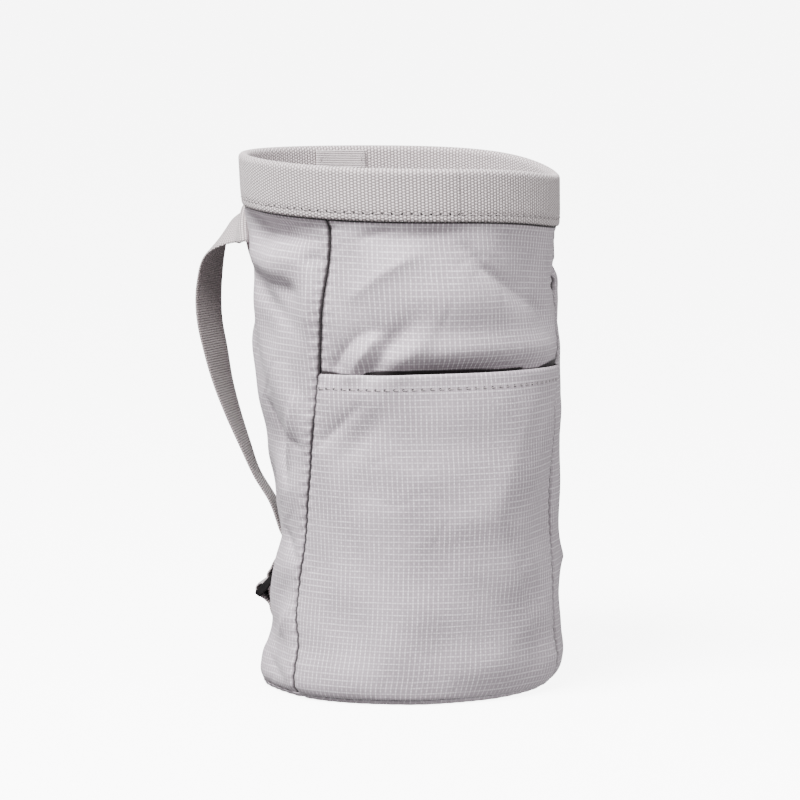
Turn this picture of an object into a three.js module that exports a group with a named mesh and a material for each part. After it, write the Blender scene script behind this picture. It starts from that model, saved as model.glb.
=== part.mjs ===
import * as THREE from 'three';

// A climbing chalk bag in millimetres, +Z up.
// The origin is the centre of the base on the floor and the pocket faces -Y.
// A bag angle is measured about the vertical axis from -Y toward +X.

// Overall sizes
const RIM_HEIGHT = 211.5;
const BAG_RADIUS = 62;
const CLOTH = 1.0;
const CLEARANCE = 0.3;

// Rim band, a wide webbing folded over the rim
const BAND_DROP = 20.5;
const BAND_WEBBING = 1.2;
const BAND_ROUNDING = 1.2;
const RIM_SLUMP = 6.4;
const RIM_LIFT = 2.0;
const SLUMP_START = 120;

// Tab over the joint of the rim band
const TAB_WIDTH = 20;
const TAB_DROP = 21.5;
const TAB_TOP_SETBACK = 0.6;
const TAB_ANGLE = -178.4;
const TAB_WEBBING = 1.2;

// Base and pocket
const BASE_CLOTH = 1.2;
const BASE_EDGE_RISE = 1.9;
const BASE_FLAT_SHARE = 0.94;
const POCKET_HEIGHT = 130.5;
const POCKET_CLOTH = 1.0;
const MOUTH_RISE = 1.3;

// Strap webbing and its path beside the bag
const STRAP_WIDTH = 20;
const STRAP_WEBBING = 1.3;
const STRAP_SIDE = -111;
const PATCH_ANGLE = -119;
const PATCH_BELOW_BAND = 8.8;
const PATCH_HEIGHT = RIM_HEIGHT - BAND_DROP - PATCH_BELOW_BAND;
const PATCH_LENGTH = 18;
const PATCH_HEADING = 45;
const HAIRPIN_RADIUS = 1.2;
const HAIRPIN_SWEEP = 142;

// Three-bar buckle
const BUCKLE_WIDTH = 26;
const BUCKLE_THICKNESS = 2.8;
const BUCKLE_BAR = 2.8;
const BUCKLE_SLOT_LENGTH = 4.9;
const BUCKLE_SLOT_WIDTH = 21;
const BUCKLE_CORNER = 2.2;
const BUCKLE_BEVEL = 0.4;
const BUCKLE_EAR = 1.3;
const BUCKLE_REACH = 0.8775 * BAG_RADIUS;
const BUCKLE_BACK = 0.4645 * BAG_RADIUS;
const BUCKLE_HEIGHT = 39.6;
const BUCKLE_LEAN = 41.5;
const BUCKLE_TURN = 11.5;

// Webbing loop that holds the buckle
const ANCHOR_WEBBING = 1.2;
const ANCHOR_PATCH_ANGLE = -141;
const ANCHOR_HEADING = 75;
const ANCHOR_CLOSING = 22;
const ANCHOR_BEND = 1.2;
const ANCHOR_BOW = 0.6;
const ANCHOR_LAYER_GAP = 0.4;
const ANCHOR_LANDING = 21;
const ANCHOR_LANDING_TURN = 40;
const ANCHOR_FOOT = 9;

const SEAM_DIP = 0.8;
const SEAM_DIP_REACH = 2.2;
const FADE_SHARE = 0.02;
const EDGE_COLUMN = 0.016;
const RISE_START = 0.85;

// A table keeps one list of numbers for each named column.
function table(columns, rows) {
  return Object.fromEntries(columns.map((name, k) => [name, rows.map((row) => row[k])]));
}

// Level sections. up is a share of RIM_HEIGHT, the rest are shares of BAG_RADIUS.
const SECTIONS = table(
  ['up', 'halfWidth', 'halfDepth', 'leanX'],
  [
    [0.000, 0.905, 0.835, -0.036],
    [0.022, 0.968, 0.855, -0.018],
    [0.052, 0.988, 0.872, -0.002],
    [0.105, 0.968, 0.880, 0.006],
    [0.190, 0.948, 0.895, 0.010],
    [0.285, 0.945, 0.910, 0.010],
    [0.370, 0.950, 0.930, 0.004],
    [0.475, 0.970, 0.955, -0.012],
    [0.590, 0.985, 0.975, -0.028],
    [0.710, 0.985, 0.985, -0.046],
    [0.830, 0.985, 0.985, -0.070],
    [0.905, 0.998, 1.000, -0.088],
    [1.000, 1.006, 1.006, -0.100],
  ],
);

// Bag angles of the three upright seams. up is a share of RIM_HEIGHT.
const SEAMS = table(
  ['up', 'left', 'right', 'back'],
  [
    [0.000, -70.0, 53.0, -198],
    [0.100, -70.5, 51.5, -196],
    [0.165, -73.0, 51.5, -195],
    [0.290, -69.5, 54.0, -192],
    [0.415, -64.4, 53.0, -190],
    [0.530, -59.8, 51.5, -188],
    [0.613, -57.2, 56.5, -186],
    [0.754, -52.8, 66.0, -183],
    [0.846, -49.4, 70.0, -181],
    [1.000, -48.5, 71.5, -180],
  ],
);

// Dents and crests of the soft wall. up, run and breadth are shares of RIM_HEIGHT,
// depth is a share of BAG_RADIUS and below zero for a dent, angles are degrees.
const FOLDS = [
  { name: 'left waist', angle: -104, up: 0.365, tilt: 84, run: 0.120, breadth: 0.075, depth: -0.075 },
  { name: 'left foot', angle: -108, up: 0.130, tilt: 80, run: 0.050, breadth: 0.050, depth: -0.020 },
  { name: 'buckle dent', angle: -137, up: 0.225, tilt: 0, run: 0.095, breadth: 0.075, depth: -0.115 },
  { name: 'right pinch', angle: 74, up: 0.815, tilt: 12, run: 0.035, breadth: 0.012, depth: -0.060 },
  { name: 'right valley', angle: 40, up: 0.775, tilt: -42, run: 0.130, breadth: 0.075, depth: -0.060 },
  { name: 'upper crest', angle: 0, up: 0.780, tilt: 30, run: 0.150, breadth: 0.080, depth: 0.030 },
  { name: 'upper dent', angle: -18, up: 0.880, tilt: 15, run: 0.070, breadth: 0.022, depth: -0.022 },
  { name: 'mouth overhang', angle: 10, up: 0.668, tilt: 0, run: 0.230, breadth: 0.026, depth: 0.024 },
  { name: 'mouth fold', angle: -30, up: 0.660, tilt: 50, run: 0.060, breadth: 0.016, depth: -0.036 },
  { name: 'mouth crest', angle: -20, up: 0.660, tilt: 50, run: 0.060, breadth: 0.022, depth: 0.032 },
  { name: 'upper left valley', angle: -82, up: 0.870, tilt: 6, run: 0.110, breadth: 0.034, depth: -0.045 },
  { name: 'upper left crest', angle: -84, up: 0.800, tilt: -8, run: 0.090, breadth: 0.020, depth: 0.026 },
  { name: 'lower left valley', angle: -88, up: 0.745, tilt: -22, run: 0.085, breadth: 0.020, depth: -0.040 },
  { name: 'seam crest', angle: -62, up: 0.700, tilt: 86, run: 0.160, breadth: 0.030, depth: 0.022 },
  { name: 'left cheek', angle: -92, up: 0.470, tilt: 84, run: 0.090, breadth: 0.050, depth: -0.030 },
  { name: 'right facet', angle: 46, up: 0.340, tilt: 84, run: 0.150, breadth: 0.085, depth: -0.055 },
  { name: 'facet crest', angle: 18, up: 0.360, tilt: 88, run: 0.150, breadth: 0.060, depth: 0.018 },
  { name: 'pocket corner', angle: -40, up: 0.500, tilt: 45, run: 0.070, breadth: 0.022, depth: -0.018 },
  { name: 'back slump', angle: 150, up: 0.420, tilt: 70, run: 0.170, breadth: 0.060, depth: -0.045 },
  { name: 'back crease', angle: -160, up: 0.600, tilt: -35, run: 0.130, breadth: 0.030, depth: -0.035 },
];

// The wall behind the pocket mouth stands back from the pocket, which leaves its mouth open.
const MOUTH_HOLLOW = { angle: 2, up: 0.586, run: 0.235, breadth: 0.053, depth: -0.120 };

// Free run of the strap. up is a share of PATCH_HEIGHT, reach and back are shares of BAG_RADIUS
// along the strap side and behind it, turn and tip are the heading and rise of its width.
const STRAP_RUN = table(
  ['up', 'reach', 'back', 'turn', 'tip'],
  [
    [1.0029, 1.125, 0.215, 15, 38],
    [0.9832, 1.222, 0.280, 20, 29],
    [0.9426, 1.290, 0.330, 26, 12],
    [0.8915, 1.322, 0.355, 29, 3],
    [0.8358, 1.334, 0.365, 30, 0],
    [0.7928, 1.328, 0.370, 29, 0],
    [0.7220, 1.289, 0.378, 27, 0],
    [0.6512, 1.243, 0.386, 21, 0],
    [0.5804, 1.178, 0.395, 15, 0],
    [0.5096, 1.101, 0.410, 9, 0],
    [0.4388, 1.018, 0.430, 4, 0],
    [0.3854, 0.926, 0.450, 4, 0],
    [0.3250, 0.852, 0.463, 9, 0],
  ],
);

// The run is listed from the top down, so it is read by how far down it is.
const STRAP_DOWN = { ...STRAP_RUN, down: STRAP_RUN.up.map((up) => -up) };

const degrees = (value) => (value * Math.PI) / 180;

const smoothStep = (value) => {
  const t = Math.min(Math.max(value, 0), 1);
  return t * t * (3 - 2 * t);
};

const turnBetween = (a, b) => ((((a - b + 180) % 360) + 360) % 360) - 180;

// Smooth curve through a column: cubic pieces whose slope at each row fits its neighbours.
function column(source, name, at, key = 'up') {
  const x = source[key];
  const y = source[name];
  const last = x.length - 1;
  const slopeAt = (i) => {
    if (i === 0) return (y[1] - y[0]) / (x[1] - x[0]);
    if (i === last) return (y[last] - y[last - 1]) / (x[last] - x[last - 1]);
    const before = x[i] - x[i - 1];
    const after = x[i + 1] - x[i];
    const rise = ((y[i + 1] - y[i]) / after) * before + ((y[i] - y[i - 1]) / before) * after;
    return rise / (before + after);
  };
  const clamped = Math.min(Math.max(at, x[0]), x[last]);
  let i = 0;
  while (i < last - 1 && clamped > x[i + 1]) i += 1;
  const span = x[i + 1] - x[i];
  const s = (clamped - x[i]) / span;
  return (
    (2 * s ** 3 - 3 * s ** 2 + 1) * y[i] +
    (s ** 3 - 2 * s ** 2 + s) * span * slopeAt(i) +
    (-2 * s ** 3 + 3 * s ** 2) * y[i + 1] +
    (s ** 3 - s ** 2) * span * slopeAt(i + 1)
  );
}

// How far one fold moves the wall outward at a bag angle and a height share.
function foldDepth(fold, angle, up, power = 2) {
  const aside = (degrees(turnBetween(angle, fold.angle)) * BAG_RADIUS) / RIM_HEIGHT;
  const above = up - fold.up;
  const tilt = degrees(fold.tilt ?? 0);
  const along = aside * Math.cos(tilt) + above * Math.sin(tilt);
  const across = above * Math.cos(tilt) - aside * Math.sin(tilt);
  const fall = (along / fold.run) ** 2 + Math.abs(across / fold.breadth) ** power;
  return fold.depth * BAG_RADIUS * Math.exp(-fall);
}

// The stiff band holds the rim round, so folds and seams fade out just below it.
function looseness(up) {
  const bandEdge = 1 - BAND_DROP / RIM_HEIGHT;
  return 1 - smoothStep((up - bandEdge) / FADE_SHARE + 1);
}

function foldsAt(angle, up) {
  return FOLDS.reduce((sum, fold) => sum + foldDepth(fold, angle, up), 0);
}

// The cloth turns in toward each upright seam.
function seamDip(angle, up) {
  const dips = ['left', 'right', 'back'].map((name) => {
    const away = degrees(turnBetween(angle, column(SEAMS, name, up))) * BAG_RADIUS;
    return SEAM_DIP * Math.exp(-((away / SEAM_DIP_REACH) ** 2));
  });
  return -dips.reduce((sum, dip) => sum + dip, 0);
}

// The rim slumps on one side and rises a little on the other.
function slumpAt(angle, up) {
  const low = RIM_SLUMP * Math.exp(-((turnBetween(angle, 68) / 40) ** 2));
  const high = RIM_LIFT * Math.exp(-((turnBetween(angle, -110) / 60) ** 2));
  const grow = smoothStep((up * RIM_HEIGHT - SLUMP_START) / (RIM_HEIGHT - BAND_DROP - SLUMP_START));
  return (low - high) * grow;
}

// Point of the bag at a bag angle and height, moved outward, with the wall's own hollow or not.
function bagPoint(angle, height, out, { hollow = true, dips = true } = {}) {
  const up = height / RIM_HEIGHT;
  const wide = column(SECTIONS, 'halfWidth', up) * BAG_RADIUS;
  const deep = column(SECTIONS, 'halfDepth', up) * BAG_RADIUS;
  const sine = Math.sin(degrees(angle));
  const cosine = Math.cos(degrees(angle));
  const normal = new THREE.Vector3(deep * sine, -wide * cosine, 0).normalize();
  const mouth = hollow ? foldDepth(MOUTH_HOLLOW, angle, up, 4) : 0;
  const dip = dips ? seamDip(angle, up) : 0;
  return new THREE.Vector3(
    wide * sine + column(SECTIONS, 'leanX', up) * BAG_RADIUS,
    -deep * cosine,
    height - slumpAt(angle, up),
  ).addScaledVector(normal, out + looseness(up) * (foldsAt(angle, up) + mouth + dip));
}

// Triangles of a four-sided patch, counter-clockwise seen from outside.
const quad = (a, b, c, d) => [a, b, c, a, c, d];

function geometryFrom(points, faces) {
  const geometry = new THREE.BufferGeometry();
  const places = points.flatMap((p) => [p.x, p.y, p.z]);
  geometry.setAttribute('position', new THREE.Float32BufferAttribute(places, 3));
  geometry.setIndex(faces);
  geometry.computeVertexNormals();
  return geometry;
}

// Closed sheet between two grids of points, rows of columns, the first grid on its outer side.
function sheetGeometry(front, back) {
  const rows = front.length;
  const columns = front[0].length;
  const outer = (r, c) => r * columns + c;
  const inner = (r, c) => rows * columns + outer(r, c);
  const faces = [];
  for (let r = 0; r < rows - 1; r += 1) {
    for (let c = 0; c < columns - 1; c += 1) {
      faces.push(...quad(outer(r, c), outer(r, c + 1), outer(r + 1, c + 1), outer(r + 1, c)));
      faces.push(...quad(inner(r, c), inner(r + 1, c), inner(r + 1, c + 1), inner(r, c + 1)));
    }
    const end = columns - 1;
    faces.push(...quad(outer(r, 0), outer(r + 1, 0), inner(r + 1, 0), inner(r, 0)));
    faces.push(...quad(outer(r, end), inner(r, end), inner(r + 1, end), outer(r + 1, end)));
  }
  for (let c = 0; c < columns - 1; c += 1) {
    const top = rows - 1;
    faces.push(...quad(outer(0, c), inner(0, c), inner(0, c + 1), outer(0, c + 1)));
    faces.push(...quad(outer(top, c), outer(top, c + 1), inner(top, c + 1), inner(top, c)));
  }
  return geometryFrom([...front.flat(), ...back.flat()], faces);
}

// Solid of closed level rings. It ends on a centre point each way, or its last ring meets its first.
function ringGeometry(rings, centres) {
  const count = rings[0].length;
  const index = (r, c) => (r % rings.length) * count + (c % count);
  const bands = centres ? rings.length - 1 : rings.length;
  const faces = [];
  for (let r = 0; r < bands; r += 1) {
    for (let c = 0; c < count; c += 1) {
      faces.push(...quad(index(r, c), index(r, c + 1), index(r + 1, c + 1), index(r + 1, c)));
    }
  }
  const points = rings.flat();
  if (centres) {
    const first = points.push(centres[0], centres[1]) - 2;
    for (let c = 0; c < count; c += 1) {
      faces.push(first, index(0, c + 1), index(0, c));
      faces.push(first + 1, index(rings.length - 1, c), index(rings.length - 1, c + 1));
    }
  }
  return geometryFrom(points, faces);
}

const evenSteps = (count, from = 0, to = 1) =>
  Array.from({ length: count + 1 }, (_, i) => from + ((to - from) * i) / count);

const grid = (rows, columns, pointAt) => rows.map((row) => columns.map((share) => pointAt(row, share)));

// Heights shared by the walls and the pocket, closer where the cloth folds.
const WALL_FOOT = BASE_EDGE_RISE + CLEARANCE;
const BAND_EDGE = RIM_HEIGHT - BAND_DROP;
const WALL_TOP = RIM_HEIGHT - BAND_WEBBING - CLEARANCE;
const POCKET_ROWS = [
  WALL_FOOT,
  ...[0.050, 0.110, 0.210, 0.320, 0.430, 0.540, 0.650, 0.750, 0.830, 0.890, 0.945].map(
    (share) => share * POCKET_HEIGHT,
  ),
  POCKET_HEIGHT,
];
const UPPER_ROWS = [
  ...[0.055, 0.120, 0.230, 0.370, 0.520, 0.670, 0.800, 0.910].map(
    (share) => POCKET_HEIGHT + share * (BAND_EDGE - POCKET_HEIGHT),
  ),
  BAND_EDGE,
  RIM_HEIGHT - BAND_DROP / 2,
  WALL_TOP,
];
const WALL_ROWS = [...POCKET_ROWS, ...UPPER_ROWS];

// Columns run from seam to seam, with one more close to each seam.
const panelColumns = (count) => {
  return [0, ...evenSteps(count - 2, EDGE_COLUMN, 1 - EDGE_COLUMN), 1];
};

// Bag angle at a share of the way between two seams, clear of both by half the gap.
function angleBetween(from, to, height, share) {
  const gap = (CLEARANCE / 2 / BAG_RADIUS) * (180 / Math.PI);
  const start = from(height / RIM_HEIGHT) + gap;
  const end = to(height / RIM_HEIGHT) - gap;
  return start + (end - start) * share;
}

const seamAngle = (name, turns = 0) => (up) => column(SEAMS, name, up) + 360 * turns;

function wallPanel(from, to, count) {
  const face = (out) =>
    grid(WALL_ROWS, panelColumns(count), (height, share) =>
      bagPoint(angleBetween(from, to, height, share), height, out),
    );
  return sheetGeometry(face(0), face(-CLOTH));
}

// The pocket follows the wall but not its hollow, and its mouth rises a little in the middle.
function pocketPanel(from, to, count) {
  const face = (out) =>
    grid(POCKET_ROWS, panelColumns(count), (height, share) => {
      const near = smoothStep((height / POCKET_HEIGHT - RISE_START) / (1 - RISE_START));
      const rise = MOUTH_RISE * Math.sin(Math.PI * share) * near;
      return bagPoint(angleBetween(from, to, height, share), height + rise, out, { hollow: false });
    });
  return sheetGeometry(face(CLEARANCE + POCKET_CLOTH), face(CLEARANCE));
}

const ringAngles = (count) => evenSteps(count).slice(0, count).map((share) => share * 360);

// Shallow dish: flat underneath, its edge turned up to the feet of the walls.
function basePanel(count) {
  const ring = (height, share, lift) =>
    ringAngles(count).map((angle) => {
      const edge = bagPoint(angle, height, 0, { hollow: false });
      return new THREE.Vector3(edge.x * share, edge.y * share, lift);
    });
  const rings = [
    ring(0, BASE_FLAT_SHARE, 0),
    ring(0, 1, BASE_EDGE_RISE * 0.25),
    ring(BASE_EDGE_RISE, 1, BASE_EDGE_RISE),
    ring(BASE_EDGE_RISE, 1 - CLOTH / BAG_RADIUS, BASE_EDGE_RISE),
    ring(0, BASE_FLAT_SHARE, BASE_CLOTH),
  ];
  const centre = (lift) => new THREE.Vector3(0, 0, lift);
  return ringGeometry(rings, [centre(0), centre(BASE_CLOTH)]);
}

// Upside-down U of webbing over the tops of the walls.
const BAND_OUTSIDE = CLEARANCE + BAND_WEBBING;
const BAND_INSIDE = -(CLOTH + CLEARANCE + BAND_WEBBING);

function rimBand(count) {
  const middle = BAND_DROP / 2;
  const crown = BAND_WEBBING;
  const profile = table(
    ['out', 'below'],
    [
      [BAND_OUTSIDE, BAND_DROP],
      [BAND_OUTSIDE, middle],
      [BAND_OUTSIDE, BAND_ROUNDING],
      [BAND_OUTSIDE - BAND_ROUNDING / 2, BAND_ROUNDING / 4],
      [(BAND_OUTSIDE + BAND_INSIDE) / 2, 0],
      [BAND_INSIDE + BAND_ROUNDING / 2, BAND_ROUNDING / 4],
      [BAND_INSIDE, BAND_ROUNDING],
      [BAND_INSIDE, middle],
      [BAND_INSIDE, BAND_DROP],
      [BAND_INSIDE + BAND_WEBBING, BAND_DROP],
      [BAND_INSIDE + BAND_WEBBING, middle],
      [BAND_INSIDE + BAND_WEBBING, crown],
      [BAND_OUTSIDE - BAND_WEBBING, crown],
      [BAND_OUTSIDE - BAND_WEBBING, middle],
      [BAND_OUTSIDE - BAND_WEBBING, BAND_DROP],
    ],
  );
  const rings = profile.out.map((out, i) =>
    ringAngles(count).map((angle) => bagPoint(angle, RIM_HEIGHT - profile.below[i], out)),
  );
  return ringGeometry(rings);
}

// Short piece of webbing flat against the inner face of the band.
function rimJoinTab() {
  const halfAngle = (TAB_WIDTH / 2 / BAG_RADIUS) * (180 / Math.PI);
  const drops = [TAB_DROP, TAB_DROP / 2, TAB_TOP_SETBACK + BAND_ROUNDING];
  const heights = drops.map((drop) => RIM_HEIGHT - drop);
  const angles = evenSteps(4, TAB_ANGLE - halfAngle, TAB_ANGLE + halfAngle);
  const face = (out) => grid(heights, angles, (height, angle) => bagPoint(angle, height, out));
  const outer = BAND_INSIDE - CLEARANCE;
  return sheetGeometry(face(outer), face(outer - TAB_WEBBING));
}

// Axes of the strap: out from the bag, level behind it, and up.
const SIDE_OUT = new THREE.Vector3(Math.sin(degrees(STRAP_SIDE)), -Math.cos(degrees(STRAP_SIDE)), 0);
const SIDE_BACK = new THREE.Vector3(0, 0, 1).cross(SIDE_OUT).negate();
const sidePoint = (reach, back, height) =>
  new THREE.Vector3(0, 0, height).addScaledVector(SIDE_OUT, reach).addScaledVector(SIDE_BACK, back);

// Webbing of a set thickness on both sides of a grid of middle points.
function webbingGeometry(middle, thickness) {
  const last = middle.length - 1;
  const end = middle[0].length - 1;
  const normalAt = (r, c) => {
    const along = middle[Math.min(r + 1, last)][c].clone().sub(middle[Math.max(r - 1, 0)][c]);
    const across = middle[r][Math.min(c + 1, end)].clone().sub(middle[r][Math.max(c - 1, 0)]);
    return across.cross(along).normalize();
  };
  const face = (half) =>
    middle.map((row, r) => row.map((p, c) => p.clone().addScaledVector(normalAt(r, c), half)));
  return sheetGeometry(face(thickness / 2), face(-thickness / 2));
}

const ACROSS = [-0.5, -0.25, 0, 0.25, 0.5];

// Rows of the sewn patch, which lies on the wall and ends at the hairpin.
function patchRows() {
  const heading = degrees(PATCH_HEADING);
  const out = CLEARANCE + STRAP_WEBBING / 2;
  return evenSteps(4, PATCH_LENGTH, 0).map((back) =>
    ACROSS.map((share) => {
      const side = share * STRAP_WIDTH;
      const aside = back * Math.cos(heading) + side * Math.sin(heading);
      const height = PATCH_HEIGHT - back * Math.sin(heading) + side * Math.cos(heading);
      const angle = PATCH_ANGLE - (aside / BAG_RADIUS) * (180 / Math.PI);
      return bagPoint(angle, height, out);
    }),
  );
}

// The hairpin turns the webbing back over the patch about a line along its last row.
function hairpinRows(patch) {
  const last = patch[patch.length - 1];
  const before = patch[patch.length - 2];
  return evenSteps(6, 0, HAIRPIN_SWEEP)
    .slice(1)
    .map((sweep) =>
      last.map((point, c) => {
        const ahead = point.clone().sub(before[c]).normalize();
        const across = last[last.length - 1].clone().sub(last[0]).normalize();
        const outward = ahead.clone().cross(across).normalize();
        return point
          .clone()
          .addScaledVector(outward, HAIRPIN_RADIUS * (1 - Math.cos(degrees(sweep))))
          .addScaledVector(ahead, HAIRPIN_RADIUS * Math.sin(degrees(sweep)));
      }),
    );
}

// Buckle axes: along it toward its upper bar, across it, and out of its face.
const BUCKLE_ALONG = new THREE.Vector3(0, 0, Math.cos(degrees(BUCKLE_LEAN)))
  .addScaledVector(SIDE_OUT, -Math.sin(degrees(BUCKLE_LEAN)) * Math.cos(degrees(BUCKLE_TURN)))
  .addScaledVector(SIDE_BACK, -Math.sin(degrees(BUCKLE_LEAN)) * Math.sin(degrees(BUCKLE_TURN)));
const BUCKLE_ACROSS = new THREE.Vector3()
  .addScaledVector(SIDE_OUT, -Math.sin(degrees(BUCKLE_TURN)))
  .addScaledVector(SIDE_BACK, Math.cos(degrees(BUCKLE_TURN)));
const BUCKLE_OUT = BUCKLE_ALONG.clone().cross(BUCKLE_ACROSS);
const BUCKLE_CENTRE = sidePoint(BUCKLE_REACH, BUCKLE_BACK, BUCKLE_HEIGHT);
const bucklePoint = (along, out, across = 0) =>
  BUCKLE_CENTRE.clone()
    .addScaledVector(BUCKLE_ALONG, along)
    .addScaledVector(BUCKLE_OUT, out)
    .addScaledVector(BUCKLE_ACROSS, across);

const BAR_PITCH = BUCKLE_BAR + BUCKLE_SLOT_LENGTH;

// Path of the strap through the buckle in its own plane: over the upper bar, down through the
// lower slot, under the middle bar, up through the upper slot and out as a short tail.
function bucklePath() {
  const half = BUCKLE_THICKNESS / 2;
  const layer = STRAP_WEBBING / 2 + CLEARANCE;
  const wrap = Math.hypot(half, BUCKLE_BAR / 2) + layer;
  const tail = half + layer;
  const load = tail + 2 * layer;
  const turnPoint = (angle) => [wrap * Math.cos(degrees(angle)), wrap * Math.sin(degrees(angle))];
  return [
    [BAR_PITCH + 1.5 * BUCKLE_BAR, load],
    [BAR_PITCH, load],
    [BAR_PITCH / 2, (load + wrap) / 2 + 0.25 * layer],
    ...[80, 115, 150, 180, 210, 240, 270, 300, 330].map(turnPoint),
    [wrap * 1.02, -wrap * 0.02],
    [wrap * 1.35, tail * 0.80],
    [BAR_PITCH, tail],
    [BAR_PITCH + 1.4 * BUCKLE_BAR, tail],
  ];
}

const levelRow = (centre, across) =>
  ACROSS.map((share) => centre.clone().addScaledVector(across, share * STRAP_WIDTH));

function strapRunRow(up) {
  const at = (name) => column(STRAP_DOWN, name, -up, 'down');
  const centre = sidePoint(at('reach') * BAG_RADIUS, at('back') * BAG_RADIUS, up * PATCH_HEIGHT);
  const across = new THREE.Vector3(0, 0, Math.sin(degrees(at('tip'))))
    .addScaledVector(SIDE_OUT, -Math.cos(degrees(at('tip'))) * Math.sin(degrees(at('turn'))))
    .addScaledVector(SIDE_BACK, Math.cos(degrees(at('tip'))) * Math.cos(degrees(at('turn'))));
  return levelRow(centre, across);
}

function strapWebbing() {
  const patch = patchRows();
  const hairpin = hairpinRows(patch);
  const { up } = STRAP_RUN;
  const run = evenSteps(30, up[0], up[up.length - 1]).map(strapRunRow);
  const threaded = bucklePath().map(([along, out]) => levelRow(bucklePoint(along, out), BUCKLE_ACROSS));
  return webbingGeometry([...patch, ...hairpin, ...run, ...threaded], STRAP_WEBBING);
}

// Flat bevelled frame with two slots. Its lower bar sits between two ears that guard the webbing.
function strapBuckle() {
  const edge = BUCKLE_BEVEL;
  const side = BUCKLE_WIDTH / 2 - edge;
  const top = BAR_PITCH + BUCKLE_BAR / 2 - edge;
  const bar = -(BAR_PITCH + BUCKLE_BAR / 2) + edge;
  const ear = bar - BUCKLE_EAR;
  const notch = BUCKLE_SLOT_WIDTH / 2 + edge;
  const corner = BUCKLE_CORNER;
  const frame = new THREE.Shape();
  frame.moveTo(notch, bar);
  frame.lineTo(notch, ear);
  frame.lineTo(side - corner / 2, ear);
  frame.quadraticCurveTo(side, ear, side, ear + corner / 2);
  frame.lineTo(side, top - corner);
  frame.quadraticCurveTo(side, top, side - corner, top);
  frame.lineTo(-side + corner, top);
  frame.quadraticCurveTo(-side, top, -side, top - corner);
  frame.lineTo(-side, ear + corner / 2);
  frame.quadraticCurveTo(-side, ear, -side + corner / 2, ear);
  frame.lineTo(-notch, ear);
  frame.lineTo(-notch, bar);
  frame.closePath();
  for (const way of [-1, 1]) {
    const middle = (way * BAR_PITCH) / 2;
    const half = BUCKLE_SLOT_LENGTH / 2 + edge;
    const slot = new THREE.Path();
    slot.moveTo(-notch, middle - half);
    slot.lineTo(-notch, middle + half);
    slot.lineTo(notch, middle + half);
    slot.lineTo(notch, middle - half);
    slot.closePath();
    frame.holes.push(slot);
  }
  const geometry = new THREE.ExtrudeGeometry(frame, {
    depth: BUCKLE_THICKNESS - 2 * edge,
    bevelEnabled: true,
    bevelThickness: edge,
    bevelSize: edge,
    bevelSegments: 1,
    curveSegments: 3,
  });
  geometry.translate(0, 0, edge - BUCKLE_THICKNESS / 2);
  return geometry;
}

// Folded webbing around the lower bar. Its two layers close on each other toward the wall, lie
// together on the way there and turn down along it.
function buckleAnchor() {
  const half = ANCHOR_WEBBING / 2;
  const apart = half + ANCHOR_LAYER_GAP / 2;
  const wrap = Math.hypot(BUCKLE_BAR / 2, BUCKLE_BAR / 2 - BUCKLE_BEVEL) + CLEARANCE + half;
  const heading = degrees(ANCHOR_HEADING);
  // away is measured from the bar's centre toward the wall, side square to that.
  const loopPoint = (away, side) =>
    bucklePoint(
      -BAR_PITCH - away * Math.cos(heading) - side * Math.sin(heading),
      side * Math.cos(heading) - away * Math.sin(heading),
    );
  const closing = degrees(ANCHOR_CLOSING);
  const meet = wrap * Math.sin(closing) + (wrap * Math.cos(closing) - apart) / Math.tan(closing);
  const bend = [meet - ANCHOR_BEND, apart + ANCHOR_BEND * Math.tan(closing)];
  const neck = meet + ANCHOR_BEND;
  const reach = 90 + ANCHOR_CLOSING;
  const turns = evenSteps(8, -reach, reach).map((turn) => [
    -wrap * Math.cos(degrees(turn)),
    wrap * Math.sin(degrees(turn)),
  ]);
  const around = [[bend[0], -bend[1]], ...turns, bend];
  const loop = around.map(([away, side]) => levelRow(loopPoint(away, side), BUCKLE_ACROSS));
  const landing = (height, out) =>
    ACROSS.map((share) => {
      const aside = ((share * STRAP_WIDTH) / BAG_RADIUS) * (180 / Math.PI);
      return bagPoint(ANCHOR_PATCH_ANGLE - aside, height, out);
    });
  const middle = CLEARANCE + ANCHOR_WEBBING + ANCHOR_LAYER_GAP / 2;
  const layer = (side) => {
    // Where the layers bend onto the wall, the outer one bends a little lower.
    const bent = ANCHOR_LANDING - side * apart * Math.tan(degrees(ANCHOR_LANDING_TURN / 2));
    const heights = [bent, (bent + ANCHOR_FOOT) / 2, ANCHOR_FOOT];
    const top = levelRow(loopPoint(neck, side * apart), BUCKLE_ACROSS);
    const foot = heights.map((height) => landing(height, middle + side * apart));
    const free = [0.33, 0.67].map((share) =>
      top.map((point, c) => {
        const bow = ANCHOR_BOW * Math.sin(Math.PI * share);
        return point.clone().lerp(foot[0][c], share).addScaledVector(BUCKLE_ALONG, -bow);
      }),
    );
    return [top, ...free, ...foot];
  };
  return webbingGeometry([...layer(-1).reverse(), ...loop, ...layer(1)], ANCHOR_WEBBING);
}

const bag = new THREE.Group();
bag.name = 'climbing_chalk_bag';

const ripstop = { color: 0xbfb9bf, roughness: 0.78, metalness: 0 };
const webbing = { color: 0xcbc6c3, roughness: 0.85, metalness: 0 };
const nylonPlastic = { color: 0x161516, roughness: 0.5, metalness: 0 };

function addPiece(name, geometry, finish) {
  const piece = new THREE.Mesh(geometry, new THREE.MeshStandardMaterial(finish));
  piece.name = name;
  bag.add(piece);
  return piece;
}

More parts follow.
